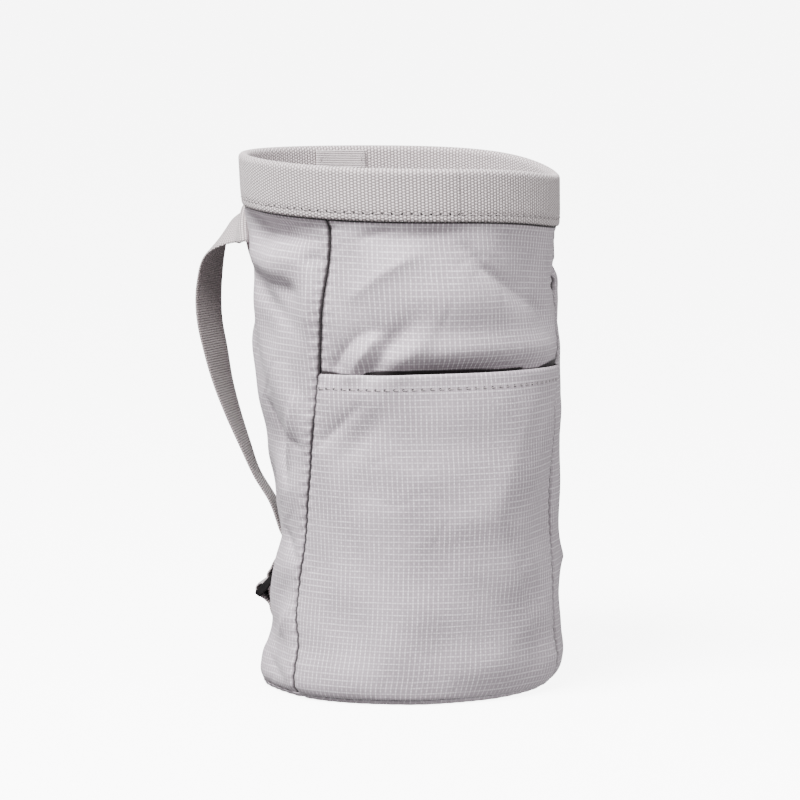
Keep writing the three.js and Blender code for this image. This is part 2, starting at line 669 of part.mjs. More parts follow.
addPiece('front_panel', wallPanel(seamAngle('left'), seamAngle('right'), 24), ripstop);
addPiece('left_back_panel', wallPanel(seamAngle('back'), seamAngle('left'), 22), ripstop);
addPiece('right_back_panel', wallPanel(seamAngle('right'), seamAngle('back', 1), 20), ripstop);
addPiece('base_panel', basePanel(48), ripstop);
addPiece('pocket_panel', pocketPanel(seamAngle('left'), seamAngle('right'), 24), ripstop);
addPiece('rim_band', rimBand(54), webbing);
addPiece('rim_join_tab', rimJoinTab(), webbing);
addPiece('strap', strapWebbing(), webbing);
addPiece('buckle_anchor', buckleAnchor(), webbing);

const buckle = addPiece('strap_buckle', strapBuckle(), nylonPlastic);
buckle.position.copy(BUCKLE_CENTRE);
buckle.quaternion.setFromRotationMatrix(
  new THREE.Matrix4().makeBasis(BUCKLE_ACROSS, BUCKLE_ALONG, BUCKLE_ACROSS.clone().cross(BUCKLE_ALONG)),
);

export default bag;
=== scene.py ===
"""A climbing chalk bag: cloth panels, rim webbing, strap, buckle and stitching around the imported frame.

Lengths are worked out in millimetres and angles in degrees, and put into the meshes in metres.
The origin is the centre of the base on the floor, +Z is up and the pocket faces -Y.
A bag angle is measured about the vertical axis from -Y toward +X.
"""

import logging
import math
from dataclasses import dataclass, field
from enum import Enum

import bmesh
import bpy
import numpy as np
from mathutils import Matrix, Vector


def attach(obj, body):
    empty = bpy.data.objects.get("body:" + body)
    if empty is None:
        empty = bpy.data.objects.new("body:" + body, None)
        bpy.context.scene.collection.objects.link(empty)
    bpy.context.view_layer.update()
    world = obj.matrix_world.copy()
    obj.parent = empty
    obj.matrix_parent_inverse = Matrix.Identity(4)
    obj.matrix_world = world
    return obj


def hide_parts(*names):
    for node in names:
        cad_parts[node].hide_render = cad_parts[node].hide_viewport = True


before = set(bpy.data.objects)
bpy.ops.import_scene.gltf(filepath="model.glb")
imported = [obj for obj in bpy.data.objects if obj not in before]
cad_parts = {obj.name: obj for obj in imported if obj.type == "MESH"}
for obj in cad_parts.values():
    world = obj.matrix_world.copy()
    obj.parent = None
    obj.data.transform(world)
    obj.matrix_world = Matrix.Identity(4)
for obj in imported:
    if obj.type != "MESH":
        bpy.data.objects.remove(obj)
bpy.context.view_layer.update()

log = logging.getLogger("chalk_bag")
Array = np.ndarray
Piece = bpy.types.Object
Material = bpy.types.Material
METRE = 0.001
UP = np.array([0.0, 0.0, 1.0])
BODY = "root"


class Slot(Enum):
    """The record's material slots."""

    RIPSTOP = "ripstop"
    BASE_CLOTH = "base_cloth"
    WEBBING = "webbing"
    PLASTIC = "plastic"


def smooth_step(value: Array) -> Array:
    """Ease from 0 to 1: t squared times three minus two t, with t held between 0 and 1."""
    t = np.clip(value, 0.0, 1.0)
    return t * t * (3.0 - 2.0 * t)


def bell(value: Array, reach: float) -> Array:
    """1 at nothing, falling as e to the minus of value over reach squared."""
    return np.exp(-((value / reach) ** 2))


def together(*parts: Array) -> Array:
    """Arrays of numbers, brought to one shape, as the last axis of one array."""
    return np.stack(np.broadcast_arrays(*parts), axis=-1)


def turn_between(a: Array, b: Array) -> Array:
    """Signed turn from b to a in degrees, from -180 up to 180."""
    return (a - b + 180.0) % 360.0 - 180.0


def hermite(x: Array, y: Array, where: Array) -> Array:
    """Smooth curve through rows: cubic pieces whose slope at each row fits its neighbours.

    Args:
        x: rising positions of the rows.
        y: values at the rows, first axis along x.
        where: positions to read, held inside x.

    Returns:
        The values at where, with y's other axes after where's.
    """
    slopes = np.gradient(y, x, axis=0)
    at = np.clip(where, x[0], x[-1])
    i = np.clip(np.searchsorted(x, at, side="left") - 1, 0, len(x) - 2)
    span = x[i + 1] - x[i]
    s = (at - x[i]) / span
    if y.ndim > 1:
        extra = (1,) * (y.ndim - 1)
        s = s.reshape(s.shape + extra)
        span = span.reshape(span.shape + extra)
    return (
        (2 * s**3 - 3 * s**2 + 1) * y[i]
        + (s**3 - 2 * s**2 + s) * span * slopes[i]
        + (-2 * s**3 + 3 * s**2) * y[i + 1]
        + (s**3 - s**2) * span * slopes[i + 1]
    )


@dataclass(frozen=True)
class SmoothTable:
    """Columns of numbers read as smooth curves over the first column."""

    columns: tuple[str, ...]
    rows: tuple[tuple[float, ...], ...]

    def at(self, name: str, where: Array) -> Array:
        """Value of one column at positions along the first column."""
        data = np.array(self.rows)
        return hermite(data[:, 0], data[:, self.columns.index(name)], np.asarray(where, float))


def unit(vectors: Array) -> Array:
    """Vectors of length one in the same directions."""
    return vectors / np.maximum(np.linalg.norm(vectors, axis=-1, keepdims=True), 1e-9)


def distances(path: Array) -> Array:
    """Distance along a path at each of its points."""
    return np.concatenate([[0], np.cumsum(np.linalg.norm(np.diff(path, axis=0), axis=1))])


def grid_normals(points: Array, looped: bool = False) -> Array:
    """Normals of a grid: the second axis' tangent crossed with the first axis' tangent.

    Args:
        points: rows, columns, xyz. Rows run up and columns to the right, seen from outside.
        looped: whether the last row meets the first.

    Returns:
        Unit vectors of the same shape, pointing outside.
    """
    if looped:
        up = np.roll(points, -1, axis=0) - np.roll(points, 1, axis=0)
    else:
        up = np.gradient(points, axis=0)
    right = np.gradient(points, axis=1)
    return unit(np.cross(right, up))


@dataclass
class GridMesh:
    """Vertices, four-sided faces and per-vertex patterns of one piece."""

    points: Array
    faces: Array
    uv: Array
    marks: dict[str, Array] = field(default_factory=dict)

    def piece(self, name: str, material: Material, slot: Slot, *nodes: str) -> Piece:
        """Put the mesh into Blender and bind it to the frame.

        Args:
            name: the piece's name.
            material: its finish.
            slot: the record's slot of that finish.
            nodes: the CAD nodes that the piece stands for.

        Returns:
            The new object, at the origin.
        """
        mesh = bpy.data.meshes.new(name)
        count = len(self.faces)
        width = self.faces.shape[1]
        mesh.vertices.add(len(self.points))
        mesh.vertices.foreach_set("co", (self.points * METRE).astype(np.float32).ravel())
        mesh.loops.add(count * width)
        mesh.loops.foreach_set("vertex_index", self.faces.astype(np.int32).ravel())
        mesh.polygons.add(count)
        mesh.polygons.foreach_set("loop_start", np.arange(0, count * width, width, dtype=np.int32))
        mesh.update(calc_edges=True)
        layer = mesh.uv_layers.new(name="weave")
        layer.data.foreach_set("uv", (self.uv[self.faces.ravel()] * METRE).astype(np.float32).ravel())
        for mark, values in self.marks.items():
            attribute = mesh.attributes.new(mark, "FLOAT", "POINT")
            attribute.data.foreach_set("value", values.astype(np.float32).ravel())
        mesh.polygons.foreach_set("use_smooth", np.ones(count, bool))
        mesh.validate()
        mesh.materials.append(material)
        return place(bpy.data.objects.new(name, mesh), slot, *nodes)


def place(piece: Piece, slot: Slot, *nodes: str) -> Piece:
    """Link a finished object, ride it on the body and hide the nodes it stands for.

    Args:
        piece: the object, at the origin.
        slot: the record's slot of its finish; not used.
        nodes: the CAD nodes that it stands for.

    Returns:
        The same object.
    """
    bpy.context.scene.collection.objects.link(piece)
    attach(piece, BODY)
    if nodes:
        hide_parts(*nodes)
    log.info("%s: %d faces", piece.name, len(piece.data.polygons))
    return piece


def grid_faces(rows: int, columns: int, start: int = 0, flip: bool = False) -> Array:
    """Four-sided faces of an open grid, counter-clockwise seen from outside unless flipped.

    Args:
        rows: how many rows of vertices.
        columns: how many in a row.
        start: the first vertex's number.
        flip: whether the faces look the other way.

    Returns:
        Four vertex numbers a face.
    """
    r, c = np.meshgrid(np.arange(rows - 1), np.arange(columns - 1), indexing="ij")
    a = start + r * columns + c
    quads = np.stack([a, a + 1, a + columns + 1, a + columns], axis=-1).reshape(-1, 4)
    return quads[:, ::-1] if flip else quads


def ring_faces(index: Array) -> Array:
    """Four-sided faces between rows of vertex numbers that each close into a ring."""
    after = np.roll(index, -1, axis=1)
    return np.stack([index[:-1], after[:-1], after[1:], index[1:]], axis=-1).reshape(-1, 4)


def zipped(ring: Array) -> Array:
    """Faces that close an even ring of vertices, each joining two pairs that face each other.

    Args:
        ring: vertex numbers, in order round the ring.

    Returns:
        Four vertex numbers a face.
    """
    half = len(ring) // 2
    near, far = ring[:half], ring[::-1][:half]
    return np.stack([near[:-1], near[1:], far[1:], far[:-1]], axis=-1)


def tube_faces(index: Array) -> Array:
    """Faces of a tube of rings, closed at both ends."""
    return np.concatenate([ring_faces(index), zipped(index[0][::-1]), zipped(index[-1])])


def shell(outer: Array, inner: Array, uv: Array, marks: dict[str, Array]) -> GridMesh:
    """Closed sheet between two grids of the same shape.

    The outer grid faces out, the inner grid faces in, and a strip of faces joins their borders.

    Args:
        outer: rows, columns, xyz of the outside.
        inner: the same of the inside.
        uv: rows, columns, two: places along and up the cloth, in millimetres.
        marks: per-vertex values of the outer grid, repeated on the inner one.

    Returns:
        The closed mesh.
    """
    rows, columns = outer.shape[:2]
    total = rows * columns
    index = np.arange(total).reshape(rows, columns)
    border = np.concatenate([index[0, :-1], index[:-1, -1], index[-1, :0:-1], index[:0:-1, 0]])
    after = np.roll(border, -1)
    edge = np.stack([after, border, border + total, after + total], axis=-1)
    faces = np.concatenate([grid_faces(rows, columns), grid_faces(rows, columns, total, True), edge])
    return GridMesh(
        points=np.concatenate([outer.reshape(-1, 3), inner.reshape(-1, 3)]),
        faces=faces,
        uv=np.tile(uv.reshape(-1, 2), (2, 1)),
        marks={name: np.tile(value.ravel(), 2) for name, value in marks.items()},
    )


@dataclass(frozen=True)
class Fold:
    """One long soft dent or crest of the wall.

    The wall moves out by depth times e to the minus of (along over run) squared plus
    (across over breadth) to the power, with along and across turned by tilt on the wall.
    up, run and breadth are shares of the rim height, depth a share of the bag's radius.
    """

    angle: float
    up: float
    tilt: float
    run: float
    breadth: float
    depth: float
    power: float = 2.0


@dataclass(frozen=True)
class Crease:
    """One narrow valley or ridge of the wall along a line of places.

    Each place is a bag angle, a height and a push in millimetres. Beside the line the push falls
    as e to the minus of (distance, rounded near nothing) over reach, with a reach to the left of
    the way the line goes and another to its right.
    """

    left: float
    right: float
    places: tuple[tuple[float, float, float], ...]
    rounding: float = 0.7
    strength: float = 1.5

    def push(self, angle: Array, height: Array, radius: float) -> Array:
        """Outward move in millimetres, from the nearest stretch of the line.

        Args:
            angle: bag angles.
            height: heights in millimetres.
            radius: the bag's radius.

        Returns:
            Outward moves in millimetres.
        """
        nearest = np.full(np.broadcast(angle, height).shape, np.inf)
        total = np.zeros_like(nearest)
        for (angle_a, low, push_a), (angle_b, high, push_b) in zip(self.places[:-1], self.places[1:]):
            aside = np.radians(turn_between(angle, angle_a)) * radius
            above = height - low
            run, rise = math.radians(angle_b - angle_a) * radius, high - low
            length = math.hypot(run, rise)
            share = np.clip((aside * run + above * rise) / length**2, 0.0, 1.0)
            away = np.hypot(aside - share * run, above - share * rise)
            side = (run * above - rise * aside) / length / np.maximum(away, 1e-6)
            reach = self.right + (self.left - self.right) * (0.5 + 0.5 * np.clip(side, -1.0, 1.0))
            fall = np.exp(-(np.hypot(away, self.rounding) - self.rounding) / reach)
            push = (push_a + (push_b - push_a) * share) * fall * self.strength
            total = np.where(away < nearest, push, total)
            nearest = np.minimum(nearest, away)
        return total


CREASES = (
    Crease(3.0, 3.5, ((-100, 181, 0), (-85, 182, -1.6), (-71, 182.5, -2.1), (-55, 182, -0.7))),
    Crease(3.5, 3.5, ((-96, 174, 0), (-80, 173.5, 1.0), (-67, 173, 0.6), (-60, 172, 0))),
    Crease(4.0, 5.0, ((-102, 165, 0), (-90, 163.5, -1.9), (-72, 162, -2.0), (-63, 161, 0))),
    Crease(2.0, 2.5, ((-63, 173, 0), (-58, 174.5, -0.9), (-53.5, 175.5, -0.6))),
    Crease(2.5, 2.2, ((-57.5, 173, 0), (-58.7, 160, 0.9), (-59.7, 152, 1.0), (-61.5, 137, 0))),
    Crease(5.0, 5.0, ((-97, 119, 0), (-92, 112, -2.0), (-88, 102, -2.9), (-80, 89, -2.0), (-77, 82, 0))),
    Crease(6.0, 2.0, ((-66, 123, 0), (-69, 118, 1.2), (-75, 102.5, 1.9), (-82, 86, 1.3), (-87, 75, 0))),
    Crease(4.0, 4.0, ((-87, 68, 0), (-82, 62, -1.3), (-77, 57, -1.1), (-73, 53, 0))),
    Crease(2.0, 2.0, ((-77, 105, 0), (-71, 101.5, -1.0), (-65.5, 99.5, 0))),
    Crease(3.0, 3.0, ((-76, 38, 0), (-80, 32, 0.9), (-84, 26, 0.9), (-88, 21, 0))),
    Crease(3.0, 4.0, ((-99, 16, 0), (-90, 11, -0.9), (-80, 7.5, -0.8), (-72, 4.5, 0))),
    Crease(3.5, 5.0, (
        (-3, 183, 0), (3, 180, -1.1), (8.5, 172.5, -1.8), (25, 164, -1.8), (40, 157, -1.2), (50, 152, 0),
    )),
    Crease(4.0, 4.0, ((-12, 180, 0), (-22, 175, 1.0), (-30, 170, 1.2), (-38, 163.5, 0.9), (-44, 158, 0))),
    Crease(2.5, 2.5, ((-39, 183, 0), (-33, 185, -1.0), (-27, 187, -0.9), (-21, 188.5, 0))),
    Crease(4.0, 4.0, ((47, 179, 0), (54, 173.5, -1.5), (62, 167, -1.7), (69, 161, -0.6))),
    Crease(3.0, 3.5, (
        (-52, 130, -0.6), (-49, 135, -1.5), (-46.5, 139, -1.7), (-40, 145.5, -1.3), (-35, 148, -0.8),
        (-29, 149, 0),
    )),
    Crease(4.0, 3.0, ((-30, 147, 0), (-34, 144, 1.4), (-38, 138.5, 1.6), (-42, 133, 1.2), (-45, 127, 0))),
    Crease(3.0, 3.0, (
        (-60, 100, 0), (-55, 104.5, -0.9), (-48, 110.5, -1.0), (-41, 117.5, -0.7), (-36, 121.5, 0),
    )),
    Crease(10.0, 20.0, (
        (33, 124, 0), (28, 115, 1.0), (24, 109, 1.3), (15.2, 91, 1.7), (10.8, 75.5, 1.7), (13.8, 64, 1.5),
        (22, 47, 1.3), (30, 30, 1.0), (38, 16, 0),
    ), rounding=3.0),
    Crease(3.0, 3.0, ((12, 74, 0), (17, 64, -0.7), (27, 44, -0.9), (35, 26, -0.7), (39, 18, 0))),
    Crease(12.0, 12.0, ((-121, 28, -0.6), (-116, 42, -1.5), (-113, 58, -0.9))),
    Crease(5.0, 5.0, ((-150, 170, 0), (-140, 160, -1.2), (-125, 150, -1.4), (-108, 146, 0))),
    Crease(5.0, 6.0, ((175, 60, 0), (165, 75, -1.3), (150, 86, -1.2), (135, 92, 0))),
    Crease(4.0, 6.0, ((80, 150, 0), (92, 138, -1.2), (108, 130, -1.4), (125, 126, 0))),
    Crease(5.0, 4.0, ((62, 60, 0), (74, 50, 1.1), (90, 44, 1.0), (106, 42, 0))),
)

MAIN_FOLDS = (
    Fold(-104, 0.365, 84, 0.120, 0.075, -0.075),
    Fold(-108, 0.130, 80, 0.050, 0.050, -0.020),
    Fold(-137, 0.225, 0, 0.095, 0.075, -0.115),
    Fold(74, 0.815, 12, 0.035, 0.012, -0.060),
    Fold(40, 0.775, -42, 0.130, 0.075, -0.060),
    Fold(0, 0.780, 30, 0.150, 0.080, 0.030),
    Fold(-18, 0.880, 15, 0.070, 0.022, -0.022),
    Fold(10, 0.668, 0, 0.230, 0.026, 0.024),
    Fold(-30, 0.660, 50, 0.060, 0.016, -0.036),
    Fold(-20, 0.660, 50, 0.060, 0.022, 0.032),
    Fold(-82, 0.870, 6, 0.110, 0.034, -0.045),
    Fold(-84, 0.800, -8, 0.090, 0.020, 0.026),
    Fold(-88, 0.745, -22, 0.085, 0.020, -0.040),
    Fold(-62, 0.700, 86, 0.160, 0.030, 0.022),
    Fold(-92, 0.470, 84, 0.090, 0.050, -0.030),
    Fold(46, 0.340, 84, 0.150, 0.085, -0.055),
    Fold(18, 0.360, 88, 0.150, 0.060, 0.018),
    Fold(-40, 0.500, 45, 0.070, 0.022, -0.018),
    Fold(150, 0.420, 70, 0.170, 0.060, -0.045),
    Fold(-160, 0.600, -35, 0.130, 0.030, -0.035),
)
MOUTH_HOLLOW = Fold(0, 0.586, 0, 0.215, 0.053, -0.120, 4.0)

MOUTH_SHADE = SmoothTable(
    ("angle", "reach"),
    (
        (-60.0, 1.8), (-55.0, 1.9), (-50.0, 1.2), (-46.0, 0.2), (-39.0, 0.2), (-35.0, 1.8),
        (-29.0, 2.6), (-20.0, 2.2), (-8.0, 1.6), (8.0, 1.3), (18.0, 0.8), (23.0, 0.2),
        (38.0, 0.2), (42.0, 1.0), (47.0, 3.0), (52.0, 4.6), (58.0, 5.2),
    ),
)

SECTIONS = SmoothTable(
    ("up", "half_width", "half_depth", "lean"),
    (
        (0.000, 0.905, 0.835, -0.036), (0.022, 0.968, 0.855, -0.018), (0.052, 0.988, 0.872, -0.002),
        (0.105, 0.968, 0.880, 0.006), (0.190, 0.948, 0.895, 0.010), (0.285, 0.945, 0.910, 0.010),
        (0.370, 0.950, 0.930, 0.004), (0.475, 0.970, 0.955, -0.012), (0.590, 0.985, 0.975, -0.028),
        (0.710, 0.985, 0.985, -0.046), (0.830, 0.985, 0.985, -0.070), (0.905, 0.998, 1.000, -0.088),
        (1.000, 1.006, 1.006, -0.100),
    ),
)

SEAMS = SmoothTable(
    ("up", "left", "right", "back"),
    (
        (0.000, -70.0, 53.0, -198.0), (0.100, -70.5, 51.5, -196.0), (0.165, -73.0, 51.5, -195.0),
        (0.290, -69.5, 54.0, -192.0), (0.415, -64.4, 53.0, -190.0), (0.530, -59.8, 51.5, -188.0),
        (0.613, -57.2, 56.5, -186.0), (0.754, -52.8, 66.0, -183.0), (0.846, -49.4, 70.0, -181.0),
        (1.000, -48.5, 71.5, -180.0),
    ),
)


@dataclass(frozen=True)
class Rumple:
    """Small seeded waves all over the cloth, the same on each run.

    The push is a sum of sines of whole turns about the bag and of height, each as high as its
    wave is long, plus creases where a second such sum crosses zero. Lengths are in millimetres.
    """

    seed: int = 23
    waves: int = 30
    swell: float = 0.46
    crease: float = 0.22
    crease_breadth: float = 0.28
    shortest: float = 16.0
    longest: float = 46.0
    radius: float = 62.0
    crease_fineness: float = 0.8
    patch_fineness: float = 0.6
    patch_contrast: float = 0.6
    patch_share: float = 0.3
    sway: float = 0.10
    sway_height: float = 38.0
    waver: float = 0.06
    waver_height: float = 21.0

    def bent(self, angle: Array, height: Array) -> Array:
        """Bag angle in radians, swayed a little so that upright waves don't run straight."""
        around = np.radians(angle)
        swayed = around + self.sway * np.sin(2 * around + height / self.sway_height)
        return swayed + self.waver * np.sin(height / self.waver_height)

    def sum_of_waves(self, rng: np.random.Generator, angle: Array, height: Array, fine: float) -> Array:
        """Sum of sines with random directions, scaled to a spread of about one.

        Args:
            rng: the seeded source of random numbers.
            angle: bag angles.
            height: heights in millimetres.
            fine: how many times shorter the waves are.

        Returns:
            The sum at each place.
        """
        total = np.zeros(np.broadcast(angle, height).shape)
        weight = 0.0
        bent = self.bent(angle, height)
        for _ in range(self.waves):
            length = rng.uniform(self.shortest, self.longest) / fine
            heading = rng.uniform(0, math.pi)
            turns = round(2 * math.pi * self.radius / length * math.cos(heading))
            rise = 2 * math.pi / length * math.sin(heading)
            total += length * np.sin(turns * bent + rise * height + rng.uniform(0, 2 * math.pi))
            weight += length * length / 2
        return total / math.sqrt(weight)

    def push(self, angle: Array, height: Array) -> Array:
        """Outward move of the cloth in millimetres.

        Args:
            angle: bag angles.
            height: heights in millimetres.

        Returns:
            Outward moves in millimetres.
        """
        rng = np.random.default_rng(self.seed)
        swell = self.sum_of_waves(rng, angle, height, 1.0)
        lines = self.sum_of_waves(rng, angle, height, self.crease_fineness)
        spots = self.sum_of_waves(rng, angle, height, self.patch_fineness)
        patches = smooth_step(spots * self.patch_contrast + self.patch_share)
        return self.swell * swell - self.crease * bell(lines, self.crease_breadth) * patches


@dataclass(frozen=True)
class BagForm:
    """The bag as a surface over bag angle and height.

    A level section is an ellipse from SECTIONS with its centre leaned to one side. The wall
    moves out along the ellipse's normal by the folds, the mouth hollow and the seam dips, and
    down where the rim slumps.
    """

    height: float = 211.5
    radius: float = 62.0
    cloth: float = 1.0
    clearance: float = 0.3
    band_drop: float = 20.5
    slump: float = 6.4
    lift: float = 2.0
    slump_start: float = 120.0
    seam_dip: float = 1.0
    dip_reach: float = 2.2
    fade: float = 0.02
    low_side: float = 68.0
    low_reach: float = 40.0
    high_side: float = -110.0
    high_reach: float = 60.0
    pocket_share: float = 0.60
    pocket_life: float = 0.6
    upper_life: float = 0.5
    left_life: float = 0.7
    left_from: float = 12.0
    left_until: float = 120.0
    left_fade: float = 30.0
    upper_fade: float = 0.08
    folds: tuple[Fold, ...] = MAIN_FOLDS
    creases: tuple[Crease, ...] = CREASES
    rumple: Rumple = Rumple()

    def fold_push(self, fold: Fold, angle: Array, up: Array) -> Array:
        """Outward move of one fold, in millimetres.

        Args:
            fold: the dent or crest.
            angle: bag angles.
            up: heights as shares of the rim height.

        Returns:
            Outward moves in millimetres.
        """
        aside = np.radians(turn_between(angle, fold.angle)) * self.radius / self.height
        above = up - fold.up
        tilt = math.radians(fold.tilt)
        along = aside * math.cos(tilt) + above * math.sin(tilt)
        across = above * math.cos(tilt) - aside * math.sin(tilt)
        fall = (along / fold.run) ** 2 + np.abs(across / fold.breadth) ** fold.power
        return fold.depth * self.radius * np.exp(-fall)

    def looseness(self, up: Array) -> Array:
        """1 on the free wall, 0 from the band's lower edge up, with a short fade between."""
        edge = 1 - self.band_drop / self.height
        return 1 - smooth_step((up - edge) / self.fade + 1)

    def liveliness(self, angle: Array, up: Array) -> Array:
        """How much the cloth rumples: least on the pocket, more above it and left of it.

        Args:
            angle: bag angles.
            up: heights as shares of the rim height.

        Returns:
            Factors of the rumples.
        """
        past = -turn_between(angle, SEAMS.at("left", up))
        behind = smooth_step((past - self.left_until) / self.left_fade)
        aside = smooth_step(past / self.left_from) * (1 - behind)
        above = smooth_step((up - self.pocket_share) / self.upper_fade)
        return self.pocket_life + self.upper_life * above * (1 - aside) + self.left_life * aside

    def seam_angle(self, name: str, height: Array) -> Array:
        """Bag angle of a seam at heights in millimetres."""
        return SEAMS.at(name, np.asarray(height) / self.height)

    def dip(self, angle: Array, up: Array) -> Array:
        """Inward turn of the cloth at the three seams: a bell of set reach about each.

        Args:
            angle: bag angles.
            up: heights as shares of the rim height.

        Returns:
            Outward moves in millimetres.
        """
        total = np.zeros(np.broadcast(angle, up).shape)
        for name in ("left", "right", "back"):
            away = np.radians(turn_between(angle, SEAMS.at(name, up))) * self.radius
            total -= self.seam_dip * bell(away, self.dip_reach)
        return total

    def sink(self, angle: Array, up: Array) -> Array:
        """Drop of the rim on its low side less its rise on the other, growing with height.

        Args:
            angle: bag angles.
            up: heights as shares of the rim height.

        Returns:
            Drops in millimetres.
        """
        low = self.slump * bell(turn_between(angle, self.low_side), self.low_reach)
        high = self.lift * bell(turn_between(angle, self.high_side), self.high_reach)
        top = self.height - self.band_drop
        grow = smooth_step((up * self.height - self.slump_start) / (top - self.slump_start))
        return (low - high) * grow

    def point(self, angle: Array, height: Array, out: Array = 0.0, hollow: bool = True) -> Array:
        """Points of the bag in millimetres.

        Args:
            angle: bag angles.
            height: heights before the slump.
            out: distance outside the wall's outer face.
            hollow: whether the wall stands back behind the pocket's mouth.

        Returns:
            The angle's and height's common shape, with xyz as the last axis.
        """
        angle, height, out = np.broadcast_arrays(
            np.asarray(angle, float), np.asarray(height, float), np.asarray(out, float)
        )
        up = height / self.height
        wide = SECTIONS.at("half_width", up) * self.radius
        deep = SECTIONS.at("half_depth", up) * self.radius
        sine, cosine = np.sin(np.radians(angle)), np.cos(np.radians(angle))
        normal = unit(together(deep * sine, -wide * cosine, 0.0))
        push = sum(self.fold_push(fold, angle, up) for fold in self.folds)
        if hollow:
            push = push + self.fold_push(MOUTH_HOLLOW, angle, up)
        push = push + sum(crease.push(angle, height, self.radius) for crease in self.creases)
        push = push + self.dip(angle, up) + self.rumple.push(angle, height) * self.liveliness(angle, up)
        aside = wide * sine + SECTIONS.at("lean", up) * self.radius
        centre = together(aside, -deep * cosine, height - self.sink(angle, up))
        return centre + normal * (out + self.looseness(up) * push)[..., None]

    def flat_place(self, angle: Array, height: Array) -> Array:
        """Places along and up the cloth in millimetres, for the weave."""
        return together(np.radians(angle) * self.radius, height)


class Value:
    """One socket of numbers that takes Python's arithmetic, each step as a Math node."""

    def __init__(self, shader: "Shader", socket: bpy.types.NodeSocket) -> None:
        """Keep the socket and the shader that owns it."""
        self.shader = shader
        self.socket = socket

    def step(self, operation: str, *terms: "Value | float") -> "Value":
        """Add one Math node over the terms."""
        return self.shader.node("ShaderNodeMath", {"operation": operation}, dict(enumerate(terms)))[0]

    def __add__(self, other: "Value | float") -> "Value":
        """Sum, in either order."""
        return self.step("ADD", self, other)

    def __mul__(self, other: "Value | float") -> "Value":
        """Product, in either order."""
        return self.step("MULTIPLY", self, other)

    __radd__, __rmul__ = __add__, __mul__

    def __sub__(self, other: "Value | float") -> "Value":
        """Difference."""
        return self.step("SUBTRACT", self, other)

    def __rsub__(self, other: float) -> "Value":
        """Difference from a number."""
        return self.step("SUBTRACT", other, self)

    def __truediv__(self, other: "Value | float") -> "Value":
        """Quotient."""
        return self.step("DIVIDE", self, other)

    def __pow__(self, other: float) -> "Value":
        """Power."""
        return self.step("POWER", self, other)

    def fold_at(self, half: float) -> "Value":
        """Distance to the nearest whole multiple of twice half."""
        return self.step("PINGPONG", self, half)

    def wave(self, pitch: float) -> "Value":
        """Cosine of that pitch, from 0 to 1, with its crests at whole multiples of the pitch."""
        return self.step("COSINE", self * (2 * math.pi / pitch)) * 0.5 + 0.5

    def floor(self) -> "Value":
        """Whole number at or below."""
        return self.step("FLOOR", self)

    def most(self, other: "Value | float") -> "Value":
        """The larger of two."""
        return self.step("MAXIMUM", self, other)

    def ease(self, start: float, end: float, low: float = 0.0, high: float = 1.0) -> "Value":
        """Smooth step from low at start to high at end.

        Args:
            start: where it leaves low.
            end: where it reaches high.
            low: the first level.
            high: the last level.

        Returns:
            The eased numbers.
        """
        settings = {"interpolation_type": "SMOOTHSTEP", "clamp": True}
        terms = dict(enumerate((self, start, end, low, high)))
        return self.shader.node("ShaderNodeMapRange", settings, terms)[0]


